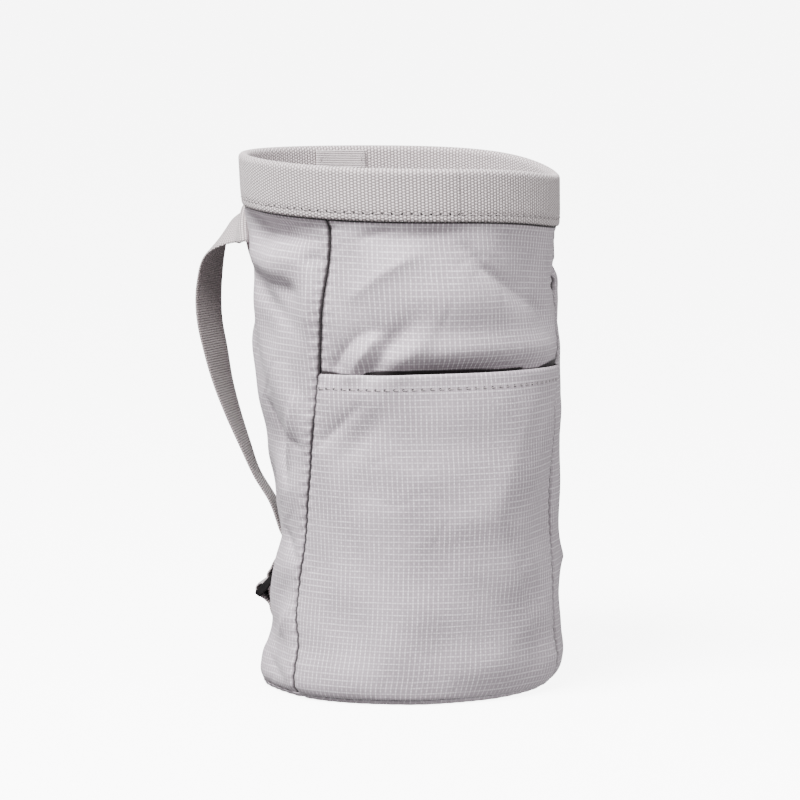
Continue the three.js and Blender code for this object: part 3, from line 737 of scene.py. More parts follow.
class Shader:
    """One material's nodes."""

    def __init__(self, name: str) -> None:
        """Start an empty material.

        Args:
            name: the material's name.
        """
        self.material = bpy.data.materials.new(name)
        self.material.use_nodes = True
        self.tree = self.material.node_tree
        self.tree.nodes.clear()

    def node(self, kind: str, settings: dict | None = None, inputs: dict | None = None) -> list[Value]:
        """Add a node.

        Args:
            kind: the node's type.
            settings: its own settings, set before its sockets.
            inputs: values or links by socket name or place.

        Returns:
            Its outputs, in order.
        """
        made = self.tree.nodes.new(kind)
        for name, setting in (settings or {}).items():
            setattr(made, name, setting)
        for name, given in (inputs or {}).items():
            socket = made.inputs[name]
            if isinstance(given, Value):
                self.tree.links.new(given.socket, socket)
            else:
                socket.default_value = given
        return [Value(self, socket) for socket in made.outputs]

    def weave_place(self) -> tuple[Value, Value]:
        """Places along and across the cloth in millimetres, from the piece's own UV map.

        Returns:
            The place along and the place across.
        """
        uv = self.node("ShaderNodeUVMap", {"uv_map": "weave"})[0]
        x, y, _ = self.node("ShaderNodeSeparateXYZ", None, {0: uv})
        return x * (1 / METRE), y * (1 / METRE)

    def mark(self, name: str) -> Value:
        """A per-vertex value of the piece."""
        return self.node("ShaderNodeAttribute", {"attribute_name": name})[2]

    def noise(self, size: float, detail: float = 2.0) -> Value:
        """Noise on Object coordinates whose spots are about size millimetres across.

        Args:
            size: of its spots, in millimetres.
            detail: how many finer layers it has.

        Returns:
            Numbers about one half.
        """
        where = self.node("ShaderNodeTexCoord")[3]
        scale = Vector((1, 1, 1)) / (size * METRE)
        mapped = self.node("ShaderNodeMapping", None, {"Vector": where, "Scale": scale})[0]
        return self.node("ShaderNodeTexNoise", None, {"Vector": mapped, "Scale": 1.0, "Detail": detail})[0]

    def blend(self, amount: Value, first: tuple | Value, second: tuple | Value) -> Value:
        """Colour between first and second."""
        settings = {"data_type": "RGBA", "clamp_factor": True}
        return self.node("ShaderNodeMix", settings, {0: amount, 6: first, 7: second})[2]

    def bump(self, height: Value, depth: float, strength: float, under: Value | None = None) -> Value:
        """Normal of a relief that is depth millimetres deep, over another normal if one is given.

        Args:
            height: the relief.
            depth: of the relief, in millimetres.
            strength: how much of it shows.
            under: a normal that it lies on.

        Returns:
            The normal.
        """
        inputs = {"Height": height, "Distance": depth * METRE, "Strength": strength}
        if under is not None:
            inputs["Normal"] = under
        return self.node("ShaderNodeBump", None, inputs)[0]

    def surface(self, constants: dict, **varying: Value) -> Material:
        """End with a Principled shader.

        Args:
            constants: values of its own sockets.
            varying: links, by socket name with _ for a space.

        Returns:
            The finished material.
        """
        inputs = {**constants, **{name.replace("_", " "): value for name, value in varying.items()}}
        bsdf = self.node("ShaderNodeBsdfPrincipled", None, inputs)[0]
        self.node("ShaderNodeOutputMaterial", None, {"Surface": bsdf})
        return self.material


Colour = tuple[float, float, float, float]


def srgb(red: int, green: int, blue: int) -> Colour:
    """Linear colour of three display values from 0 to 255.

    Args:
        red: display value.
        green: display value.
        blue: display value.

    Returns:
        Red, green, blue and an alpha of one.
    """
    parts = [value / 255 for value in (red, green, blue)]
    linear = [part / 12.92 if part <= 0.04045 else ((part + 0.055) / 1.055) ** 2.4 for part in parts]
    return (linear[0], linear[1], linear[2], 1.0)


@dataclass(frozen=True)
class StitchMarks:
    """Needle holes in a row along the cloth, at a height across it."""

    across: float
    pitch: float
    radius: float = 0.62

    def holes(self, x: Value, y: Value) -> Value:
        """1 in the needle holes, 0 elsewhere: the distance to the nearest hole's centre, eased."""
        away = (x.fold_at(self.pitch / 2) ** 2 + (y - self.across) ** 2) ** 0.5
        return 1 - away.ease(self.radius * 0.5, self.radius)


@dataclass(frozen=True)
class RipstopFinish:
    """Coated ripstop nylon: a plain weave with a grid of thick pale threads.

    Pitches, the thick threads' half width (line) and the depths of relief are in millimetres.
    """

    name: str
    ground: Colour = srgb(184, 172, 181)
    shade: Colour = srgb(169, 157, 166)
    thread: Colour = srgb(252, 246, 251)
    # Painted shade: the dark colour laid in seam valleys, beside seams, under the band, above the pocket's
    # mouth, inside the base and in needle holes.
    seam: Colour = srgb(36, 29, 32)
    pitch_over: float = 2.05
    pitch_up: float = 2.42
    line: float = 0.42
    weave: float = 0.42
    wander: float = 0.5
    relief: float = 0.11
    grain: float = 0.16
    hole_depth: float = 2.0
    stitches: StitchMarks | None = None

    def grid(self, sh: Shader, u: Value, v: Value) -> Value:
        """The thick threads, from 0 between them to 1.

        They lie where the distance to a whole multiple of the pitch is small, and each is broken
        into two beads a cell. Here the upright ones lead, there the level ones.

        Args:
            sh: the material's nodes.
            u: places along the cloth.
            v: places up the cloth.

        Returns:
            How much of a thick thread is at each place.
        """
        upright = 1 - u.fold_at(self.pitch_over / 2).ease(self.line * 0.3, self.line)
        level = 1 - v.fold_at(self.pitch_up / 2).ease(self.line * 0.3, self.line)
        beads_up = v.wave(self.pitch_up / 2).ease(0.05, 0.75, 0.35, 1.0)
        beads_over = u.wave(self.pitch_over / 2).ease(0.05, 0.75, 0.45, 1.0)
        worn = sh.noise(1.7, 3.0).ease(0.28, 0.58, 0.45, 1.0)
        lead = sh.noise(12.0).ease(0.40, 0.60)
        upright = upright * beads_up * (lead * 0.4 + 0.6)
        return upright.most(level * beads_over * (0.85 - lead * 0.5)) * worn

    def material(self) -> Material:
        """Build the material: patchy ground, thick threads, plain weave, and painted shade in seams, needle
        holes and other shaded places.

        Returns:
            The finished material.
        """
        sh = Shader(self.name)
        x, y = sh.weave_place()
        wander = (sh.noise(9.0, 1.0) - 0.5) * self.wander
        u, v = x + wander, y + wander * 0.7
        threads = self.grid(sh, u, v)
        fine = u.wave(self.weave) * v.wave(self.weave)
        patches = sh.noise(26.0, 3.0)
        colour = sh.blend(patches.ease(0.3, 0.7), self.shade, self.ground)
        colour = sh.blend(threads * 0.95, colour, self.thread)
        colour = sh.blend(fine * 0.12, colour, self.shade)
        # Painted shade where the piece's shade mark is set: seam valleys, beside seams, under the band,
        # above the pocket's mouth and inside the base.
        colour = sh.blend(sh.mark("painted_shade").ease(0.10, 0.72), colour, self.seam)
        relief = threads * 0.8 + fine * 0.35
        if self.stitches:
            hole = self.stitches.holes(x, y)
            # Painted shade in the needle holes, which also dent the relief.
            colour = sh.blend(hole * 0.95, colour, self.seam)
            relief = relief - hole * self.hole_depth
        grain = sh.bump(sh.noise(2.6, 3.0), self.grain, 0.6)
        return sh.surface(
            {"Sheen Weight": 0.12, "Sheen Roughness": 0.5, "Specular IOR Level": 0.42},
            Base_Color=colour,
            Roughness=(patches * 0.10 + 0.50) - threads * 0.08,
            Normal=sh.bump(relief, self.relief, 0.9, grain),
        )


class Weave(Enum):
    """How a webbing is woven: chains of beads across it, or plain ribs."""

    CHAINS = "chains"
    RIBS = "ribs"


@dataclass(frozen=True)
class WebbingFinish:
    """Woven nylon tape: chains of beads, each chain set half a bead off its neighbour."""

    name: str
    weave: Weave
    chain: float = 1.45
    bead: float = 1.16
    top: Colour = srgb(234, 224, 225)
    gap: Colour = srgb(136, 125, 126)
    hole: Colour = srgb(34, 27, 28)
    shadow: Colour = srgb(112, 102, 100)
    beading: float = 0.72
    relief: float = 0.34
    hole_depth: float = 1.5
    stitches: StitchMarks | None = None

    def chains(self, x: Value, y: Value) -> Value:
        """Relief from 0 to 1: a product of two cosines, the beads' one shallower than the chains'.

        Args:
            x: places along the webbing.
            y: places across it.

        Returns:
            The relief.
        """
        if self.weave is Weave.RIBS:
            chains, beads = x.wave(self.bead), y.wave(self.chain) * 0.25 + 0.75
        else:
            odd = (x / self.chain + 0.5).floor().fold_at(1.0)
            chains, beads = x.wave(self.chain), (y + odd * (self.bead / 2)).wave(self.bead)
        return chains**0.7 * (beads * self.beading + 1 - self.beading)

    def material(self) -> Material:
        """Build the material: pale on the beads with painted shade in the gaps and needle holes, painted
        shade on a marked inner face, patchy and a little fuzzy.

        Returns:
            The finished material.
        """
        sh = Shader(self.name)
        x, y = sh.weave_place()
        fuzz = sh.noise(0.9, 3.0)
        patches = sh.noise(17.0)
        relief = self.chains(x, y)
        light = (relief + (fuzz - 0.5) * 0.35).ease(0.08, 0.66)
        duller = tuple(part * 0.9 for part in self.top[:3]) + (1.0,)
        top = sh.blend(patches.ease(0.3, 0.7) * 0.5, self.top, duller)
        # Painted shade: the gaps between the beads take the darker gap colour.
        colour = sh.blend(light, self.gap, top)
        # Painted shade on a strap's inner face, which faces the bag.
        colour = sh.blend(sh.mark("inner") * 0.8, colour, self.shadow)
        if self.stitches:
            hole = self.stitches.holes(x, y)
            # Painted shade in the needle holes, which also dent the relief.
            colour = sh.blend(hole * 0.95, colour, self.hole)
            relief = relief - hole * self.hole_depth
        return sh.surface(
            {"Sheen Weight": 0.25, "Sheen Roughness": 0.6, "Specular IOR Level": 0.3},
            Base_Color=colour,
            Roughness=patches * 0.10 + 0.68,
            Normal=sh.bump(relief + fuzz * 0.25, self.relief, 0.9),
        )


@dataclass(frozen=True)
class ThreadFinish:
    """Twisted polyester sewing thread."""

    name: str
    colour: Colour = srgb(184, 175, 177)
    groove: Colour = srgb(112, 103, 105)
    twist: float = 0.55

    def material(self) -> Material:
        """Build the material: stripes slant round the thread at the twist's pitch, with painted shade in the
        grooves between them.

        Returns:
            The finished material.
        """
        sh = Shader(self.name)
        x, y = sh.weave_place()
        strands = (x + y * 0.6).wave(self.twist)
        # Painted shade: the twist's grooves take the darker groove colour.
        return sh.surface(
            {"Sheen Weight": 0.2},
            Base_Color=sh.blend(strands.ease(0.1, 0.7), self.groove, self.colour),
            Roughness=sh.noise(3.0) * 0.1 + 0.55,
            Normal=sh.bump(strands, 0.08, 0.8),
        )


@dataclass(frozen=True)
class PlasticFinish:
    """Moulded black acetal with a fine spark texture."""

    name: str
    colour: Colour = srgb(15, 13, 14)
    rubbed: Colour = srgb(34, 31, 32)

    def material(self) -> Material:
        """Build the material: speckles of the mould, paler in scattered worn patches.

        Returns:
            The finished material.
        """
        sh = Shader(self.name)
        speckle, wear = sh.noise(0.35), sh.noise(4.0, 4.0)
        return sh.surface(
            {"Specular IOR Level": 0.25},
            Base_Color=sh.blend(wear.ease(0.52, 0.78) * 0.6, self.colour, self.rubbed),
            Roughness=speckle * 0.12 + wear * 0.10 + 0.46,
            Normal=sh.bump(speckle, 0.03, 0.6),
        )


@dataclass(frozen=True)
class SewnEdges:
    """How a panel turns in at its seams: a quarter circle, then a short flange inward."""

    radius: float = 0.75
    tight_radius: float = 0.32
    flange: float = 1.5
    gap: float = 0.14
    turn_steps: int = 6

    def lines(self, flat: int) -> tuple[Array, Array, Array, Array]:
        """Grid lines from one seam to the other.

        Args:
            flat: how many lines the flat part has.

        Returns:
            side (-1, 0 or 1), share across the flat, turn (0 at the seam to 1 on the flat) and
            flange (1 at its inner end to 0).
        """
        turned = np.concatenate([[0.0, 0.0], np.linspace(0, 1, self.turn_steps, endpoint=False)])
        flange = np.concatenate([[1.0, 0.5], np.zeros(self.turn_steps)])
        side, level = np.ones_like(turned), np.zeros(flat)
        return (
            np.concatenate([-side, level, side]),
            np.concatenate([0 * side, np.linspace(0, 1, flat), side]),
            np.concatenate([turned, level + 1, turned[::-1]]),
            np.concatenate([flange, level, flange[::-1]]),
        )


SEAM_SHADE_REACH = {"left": 0.6, "right": 2.2, "back": 0.7}


@dataclass
class Panels:
    """The three wall panels, the pocket panel and the base, in millimetres."""

    form: BagForm
    edges: SewnEdges = SewnEdges()
    thickness: float = 0.5
    step: float = 0.95
    foot: float = 2.2
    foot_turn: float = 0.9
    pocket_height: float = 130.5
    pocket_lift: float = 1.15
    mouth_rise: float = 1.3
    hem: float = 8.5
    hem_thickness: float = 0.45
    hem_fade: float = 1.2
    hem_round: float = 0.7
    hem_stitch_drop: float = 5.7
    hem_stitch_pitch: float = 3.55
    rise_from: float = 0.85
    front_inset: float = 0.5
    inset_margin: float = 1.0
    inset_fade: float = 3.0
    band_shade: float = 1.0
    band_shade_fade: float = 0.8
    top_drop: float = 1.5
    lift_reach: float = 1.6
    pucker: float = 0.24
    pucker_turn: float = 1.47
    pucker_sway: float = 0.8
    pucker_sway_height: float = 5.1
    pucker_place: float = 1.6
    pucker_reach: float = 2.4
    seam_shade: float = 0.62
    least_shade: float = 0.15
    base_rise: float = 2.1
    base_flat: float = 0.975
    base_cloth: float = 1.2
    base_hole: float = 0.004
    base_wall: float = 0.016
    base_rim: float = 0.93
    base_rim_fade: float = 0.05
    base_wrinkle: float = 0.16
    base_waves: int = 61
    base_wave_sway: int = 7
    base_scallop: float = 0.004

    def rows(self, top: float) -> tuple[Array, Array, Array]:
        """Grid lines up a panel: heights, inward turn at the foot and the painted shade of each at the foot.

        Args:
            top: height of the panel's top.

        Returns:
            Three arrays, one number a line.
        """
        turn = np.linspace(0, 1, 5, endpoint=False)
        turned = self.foot + self.foot_turn * (1 - np.cos(turn * math.pi / 2))
        sunk = -self.foot_turn * (1 - np.sin(turn * math.pi / 2))
        start = self.foot + self.foot_turn
        flat = np.linspace(start, top, int((top - start) / self.step))
        heights = np.concatenate([turned, flat])
        # Painted shade on the turn at the foot, darkest at the bottom.
        shade_paint = np.concatenate([np.maximum(1 - 2 * turn, 0), np.zeros_like(flat)])
        return heights, np.concatenate([sunk, np.zeros_like(flat)]), shade_paint

    def sewn_grid(
        self, start: tuple[str, float], end: tuple[str, float], top: float, inset: float, lift: float
    ) -> tuple[Array, Array, Array, Array]:
        """Angles, heights, outward offsets and painted shade of a panel's outer face.

        Across, a line lies a rolled quarter circle, a share of the flat or again a quarter circle
        from its seam. Beside the seams the cloth puckers by a sine of height in a bell of reach.

        Args:
            start: the left seam's name and whole turns added to it.
            end: the same of the right seam.
            top: height of the panel's top.
            inset: how far its edges stand back from the seams below the pocket's top.
            lift: distance outside the wall away from the seams.

        Returns:
            Four arrays of rows by columns.
        """
        heights, sunk, foot_shade_paint = self.rows(top)
        form, edges = self.form, self.edges
        h = heights[:, None]
        first, last = (form.seam_angle(name, heights)[:, None] + turned for name, turned in (start, end))
        width = np.radians(last - first) * form.radius
        side, share, turn, flange = edges.lines(int(width.max() / self.step))
        loose = form.looseness(h / form.height)
        covered = 1 - smooth_step((h - self.pocket_height - self.inset_margin) / self.inset_fade)
        radius = edges.tight_radius + (edges.radius - edges.tight_radius) * loose
        gap = edges.gap / 2 + inset * covered
        rolled = radius * (1 - np.cos(turn * math.pi / 2))
        flat = radius + share * (width - 2 * gap - 2 * radius)
        away = np.where(side < 0, rolled, np.where(side > 0, width - 2 * gap - rolled, flat)) + gap
        out = -radius * (1 - np.sin(turn * math.pi / 2)) - flange * edges.flange * loose
        near = np.minimum(away, width - away)
        out = out + lift * (1 - np.exp(-np.maximum(near, 0) / self.lift_reach)) + sunk[:, None]
        sway = self.pucker_sway * np.sin(h / self.pucker_sway_height)
        ripple = np.sin(h * self.pucker_turn + sway) * (side == 0)
        out = out + self.pucker * ripple * bell(near - self.pucker_place, self.pucker_reach) * loose
        angle = first + np.degrees(away / form.radius)
        # Painted shade in the seams' rolls and flanges and at the foot.
        shade_paint = np.maximum(np.maximum(1 - turn, flange)[None, :] + 0 * h, foot_shade_paint[:, None])
        # Painted shadow falling off beside each seam, widest at the right seam.
        from_start = np.maximum(away - radius, 0) / SEAM_SHADE_REACH[start[0]]
        from_end = np.maximum(width - away - radius, 0) / SEAM_SHADE_REACH[end[0]]
        beside = self.seam_shade * np.exp(-np.minimum(from_start, from_end))
        # Painted shadow under the band's lower edge.
        under_band = smooth_step((h - form.height + form.band_drop + self.band_shade) / self.band_shade_fade)
        return angle, h + 0 * angle, out, np.maximum(np.maximum(shade_paint, beside), under_band)

    def panel(
        self,
        name: str,
        node: str,
        start: tuple[str, float],
        end: tuple[str, float],
        material: Material,
        inset: float = 0.0,
    ) -> Piece:
        """Build one wall panel as a closed thin sheet, with painted shade above the pocket's mouth if it is
        inset.

        Args:
            name: the piece's name.
            node: the CAD node that it stands for.
            start: the left seam's name and whole turns added to it.
            end: the same of the right seam.
            material: its finish.
            inset: how far its edges stand back beside the pocket.

        Returns:
            The new object.
        """
        angle, height, out, shade_paint = self.sewn_grid(start, end, self.form.height - self.top_drop, inset, 0.0)
        outer = self.form.point(angle, height, out)
        inner = outer - grid_normals(outer) * self.thickness
        if inset:
            # Painted shade on the wall just above the pocket's mouth, as far as MOUTH_SHADE reaches.
            top = self.pocket_height
            edge = top + self.mouth_lift(angle, top, *self.pocket_seams(top))
            reach = np.maximum(MOUTH_SHADE.at("reach", angle), self.least_shade)
            shade_paint = np.maximum(shade_paint, 1 - smooth_step((height - edge) / reach))
        mesh = shell(outer, inner, self.form.flat_place(angle, height), {"painted_shade": shade_paint})
        return mesh.piece(name, material, Slot.RIPSTOP, node)

    def pocket_seams(self, height: float) -> tuple[float, float]:
        """Bag angles of the pocket's left and right seams at a height."""
        return float(self.form.seam_angle("left", height)), float(self.form.seam_angle("right", height))

    def mouth_lift(self, angle: Array, height: Array, left: Array, right: Array) -> Array:
        """Rise of the pocket's cloth: half a sine between the seams, eased in below its top.

        Args:
            angle: bag angles.
            height: heights in millimetres.
            left: bag angle of the left seam.
            right: bag angle of the right seam.

        Returns:
            Rises in millimetres.
        """
        share = np.clip((angle - left) / (right - left), 0.0, 1.0)
        ease = smooth_step((height / self.pocket_height - self.rise_from) / (1 - self.rise_from))
        return self.mouth_rise * np.sin(math.pi * share) * ease

    def pocket(self, material: Material) -> Piece:
        """Build the pocket panel, thicker in its folded hem, with a round upper edge.

        Args:
            material: its finish.

        Returns:
            The new object.
        """
        top = self.pocket_height
        angle, height, out, shade_paint = self.sewn_grid(("left", 0), ("right", 0), top, 0.0, self.pocket_lift)
        rise = self.mouth_lift(angle, height, angle[:, :1], angle[:, -1:])
        rounded = np.sqrt(np.clip(1 - (1 - np.clip((top - height) / self.hem_round, 0, 1)) ** 2, 0, 1))
        in_hem = 1 - smooth_step((top - height - self.hem) / self.hem_fade)
        thick = self.thickness + self.hem_thickness * in_hem
        outer = self.form.point(angle, height + rise, out, hollow=False)
        normal = grid_normals(outer)
        middle = outer - normal * (thick / 2)[..., None]
        half = normal * (thick / 2 * rounded)[..., None]
        # The pocket's mark carries the painted shade of its seams and foot.
        mesh = shell(middle + half, middle - half, self.form.flat_place(angle, height), {"painted_shade": shade_paint})
        return mesh.piece("pocket_cloth", material, Slot.RIPSTOP, "pocket_panel")

    def base_profile(self) -> tuple[Array, int]:
        """Share of the outline and height along the base's section, and where its inside starts.

        Out along the underside, a quarter circle up the side, back down the inside of it and in
        along the upper face.

        Returns:
            The profile's points and the number of its first inside point.
        """
        low, rise = self.base_flat, self.base_rise
        turn = np.linspace(0, math.pi / 2, 7)
        shares = np.array([self.base_hole, 0.2, 0.4, 0.6, 0.75, 0.86])
        side = together(low + (1 - low) * np.sin(turn), rise * (1 - np.cos(turn)))
        lowest = self.base_cloth * 0.99
        inside = together(side[::-1, 0] - self.base_wall, np.maximum(side[::-1, 1], lowest))
        under, over = together(shares, 0.0), together(shares[::-1], self.base_cloth)
        return np.concatenate([under, side, inside, over]), len(under) + len(side)

    def base(self, material: Material) -> Piece:
        """Build the base: a shallow dish whose edge turns up to the feet of the walls.

        A closed profile of share of the outline and height is carried round the bag. Its rim is
        wrinkled by a sine of many turns whose phase sways.

        Args:
            material: its finish.

        Returns:
            The new object.
        """
        angle = np.arange(0, 360, 1.0)
        profile, inside_from = self.base_profile()
        share, height = profile[:, :1], profile[:, 1:]
        edge = self.form.point(angle[None, :], height * 0.8, 0.0, hollow=False)
        points = edge * np.array([1, 1, 0]) * share[..., None]
        turn = np.radians(angle)
        wrinkles = np.sin(turn * self.base_waves + 2 * np.sin(turn * self.base_wave_sway))
        rim = smooth_step((share - self.base_rim) / self.base_rim_fade)
        points[..., 2] = height + self.base_wrinkle * wrinkles * rim * (height > 0.3)
        points[..., :2] *= 1 + self.base_scallop * np.roll(wrinkles, 2)[None, :, None] * rim[..., None]
        count, around = points.shape[:2]
        index = np.arange(count * around).reshape(count, around)
        faces = tube_faces(index)
        # Painted shade on the base's inside, within the bag.
        shade_paint = np.repeat(np.arange(count) >= inside_from, around)
        mesh = GridMesh(points.reshape(-1, 3), faces, points[..., :2].reshape(-1, 2), {"painted_shade": shade_paint})
        return mesh.piece("base_cloth_panel", material, Slot.BASE_CLOTH, "base_panel")

    def build(self) -> None:
        """Build and dress every cloth piece."""
        cloth = RipstopFinish("ripstop_wall").material()
        hem = StitchMarks(self.pocket_height - self.hem_stitch_drop, self.hem_stitch_pitch)
        pocket_cloth = RipstopFinish("ripstop_pocket", stitches=hem).material()
        # Painted light: the base's ground and shade colours are set paler than the wall's, making up for the
        # light its downward face misses.
        ground, shade, thread = srgb(196, 184, 194), srgb(178, 166, 176), srgb(226, 217, 225)
        base_cloth = RipstopFinish("ripstop_base", ground, shade, thread).material()
        self.panel("front_cloth", "front_panel", ("left", 0), ("right", 0), cloth, self.front_inset)
        self.panel("left_back_cloth", "left_back_panel", ("back", 0), ("left", 0), cloth)
        self.panel("right_back_cloth", "right_back_panel", ("right", 0), ("back", 360), cloth)
        self.pocket(pocket_cloth)
        self.base(base_cloth)


def ribbon(
    middle: Array,
    thickness: float,
    length: Array,
    width: float,
    looped: bool = False,
    under_step: int = 1,
    relief: Array | float = 0.0,
    inner_shade: Array | float = 0.0,
) -> GridMesh:
    """Webbing on both sides of a middle surface, with rounded selvedges.

    Half the thickness falls to nothing at the two selvedges as (1 - |2s|^10)^(1/2), s being the
    share across. The far side may have fewer lines.

    Args:
        middle: rows along the length, columns across, xyz.
        thickness: of the webbing.
        length: distance along at each row.
        width: of the webbing.
        looped: whether the last row meets the first.
        under_step: one line in this many is kept on the far side.
        relief: extra thickness of the near side, rows by columns.
        inner_shade: how far the far side is the shaded inner one, by rows.

    Returns:
        The closed mesh.
    """
    rows, columns = middle.shape[:2]
    share = np.linspace(-0.5, 0.5, columns)
    half = thickness / 2 * np.sqrt(np.clip(1 - np.abs(2 * share) ** 10, 0, 1))
    normal = grid_normals(middle, looped)
    rim = (half > 0).astype(float)
    near = middle + normal * (half[None, :] + relief * rim[None, :])[..., None]
    far = middle - normal * half[None, :, None]
    keep = np.arange(columns - 1 - under_step, 0, -under_step)
    ring = np.concatenate([near, far[:, keep]], axis=1)
    ring_share = np.concatenate([share, share[keep]])
    around = ring.shape[1]
    index = np.arange(rows * around).reshape(rows, around)
    faces = ring_faces(np.concatenate([index, index[:1]])) if looped else tube_faces(index)
    uv = together(length[:, None], (ring_share * width)[None, :])
    # Painted shade: the far side's faces, short of the selvedges, take the inner mark by rows.
    inner = (np.arange(around) >= columns) * (np.abs(ring_share) < 0.49)
    marks = {"inner": (np.broadcast_to(inner_shade, rows)[:, None] * inner).ravel()}
    return GridMesh(ring.reshape(-1, 3), faces, uv.reshape(-1, 2).copy(), marks)


@dataclass
class RimBand:
    """The wide webbing folded over the rim, and the tab over its joint."""

    form: BagForm
    thickness: float = 1.2
    corner: float = 1.2
    ribs: int = 276
    lines_per_rib: int = 4
    rib: float = 1.45
    rib_relief: float = 0.08
    across: int = 57
    stitch_rise: float = 3.0
    stitch_pitch: float = 3.8
    tab_angle: float = -176.6
    tab_width: float = 23.4
    tab_drop: float = 21.5
    tab_setback: float = 1.8
    tab_thickness: float = 1.2
    groove: float = 0.22
    groove_reach: float = 0.7

    @property
    def outside(self) -> float:
        """Distance of the band's outer face from the wall."""
        return self.form.clearance + self.thickness

    @property
    def inside(self) -> float:
        """Distance of the band's innermost face from the wall's outer face, below zero."""
        return -(self.form.cloth + self.form.clearance + self.thickness)

    def path(self) -> tuple[Array, Array, Array]:
        """Middle line of the folded webbing: distance along, out from the wall and below the rim.

        Up the outside, a quarter circle, over the wall's top, a quarter circle and down the
        inside.

        Returns:
            Three arrays, one number a point.
        """
        half, r = self.thickness / 2, self.corner
        out, back = self.outside - half, self.inside + half
        turn = np.radians(np.linspace(0, 90, 9))
        foot = [self.form.band_drop]
        outs = np.concatenate([[out], out - r + r * np.cos(turn), back + r - r * np.sin(turn), [back]])
        drops = np.concatenate([foot, half + r - r * np.sin(turn), half + r - r * np.cos(turn), foot])
        steps = np.hypot(np.diff(outs), np.diff(drops))
        return np.concatenate([[0], np.cumsum(steps)]), outs, drops

    def band(self) -> Piece:
        """Build the band: its ribs are a cosine of real relief, and its stitches lie in a groove.

        Returns:
            The new object.
        """
        along, outs, drops = self.path()
        total = along[-1]
        rise = np.linspace(0, total, self.across)
        lines = self.ribs * self.lines_per_rib
        angle = -np.arange(lines) * 360.0 / lines
        out = np.interp(rise, along, outs)
        height = self.form.height - np.interp(rise, along, drops)
        middle = self.form.point(angle[:, None], height[None, :], out[None, :])
        length = -angle / 360 * self.ribs * self.rib
        ribs = self.rib_relief / 2 * np.cos(2 * math.pi * length / self.rib)
        near = np.minimum(rise, total - rise)
        groove = self.groove * bell(near - self.stitch_rise, self.groove_reach)
        relief = ribs[:, None] - groove[None, :]
        mesh = ribbon(middle, self.thickness, length, total, looped=True, under_step=4, relief=relief)
        marks = StitchMarks(self.stitch_rise - total / 2, self.stitch_pitch)
        material = WebbingFinish("webbing_band", Weave.CHAINS, stitches=marks).material()
        return mesh.piece("rim_band_webbing", material, Slot.WEBBING, "rim_band")

    def tab(self) -> Piece:
        """Build the short webbing over the band's joint, flat against its inner face.

        Returns:
            The new object.
        """
        half = math.degrees(self.tab_width / 2 / self.form.radius)
        height = self.form.height - np.linspace(self.tab_setback, self.tab_drop, 46)
        angle = np.linspace(self.tab_angle - half, self.tab_angle + half, 41)
        out = self.inside - self.form.clearance - self.tab_thickness / 2
        middle = self.form.point(angle[None, :], height[:, None], out)
        # Painted light: the tab's gap colour is set paler than the band's, making up for the shade it lies
        # in inside the rim.
        colours = {"top": srgb(222, 212, 213), "gap": srgb(164, 154, 155)}
        material = WebbingFinish("webbing_tab", Weave.RIBS, bead=0.72, chain=1.3, **colours).material()
        mesh = ribbon(middle, self.tab_thickness, self.form.height - height, self.tab_width)
        return mesh.piece("rim_tab_webbing", material, Slot.WEBBING, "rim_join_tab")

    def build(self) -> None:
        """Build the band and its tab."""
        self.band()
        self.tab()


STRAP_RUN = SmoothTable(
    ("down", "reach", "back", "turn", "tip"),
    (
        (-0.864, 1.125, 0.215, 15, 38), (-0.847, 1.222, 0.280, 20, 29), (-0.812, 1.290, 0.330, 26, 12),
        (-0.768, 1.322, 0.355, 29, 3), (-0.720, 1.334, 0.365, 30, 0), (-0.683, 1.328, 0.370, 29, 0),
        (-0.622, 1.289, 0.378, 27, 0), (-0.561, 1.243, 0.386, 21, 0), (-0.500, 1.178, 0.395, 15, 0),
        (-0.439, 1.101, 0.410, 9, 0), (-0.378, 1.018, 0.430, 4, 0), (-0.332, 0.926, 0.450, 4, 0),
        (-0.280, 0.852, 0.463, 9, 0),
    ),
)


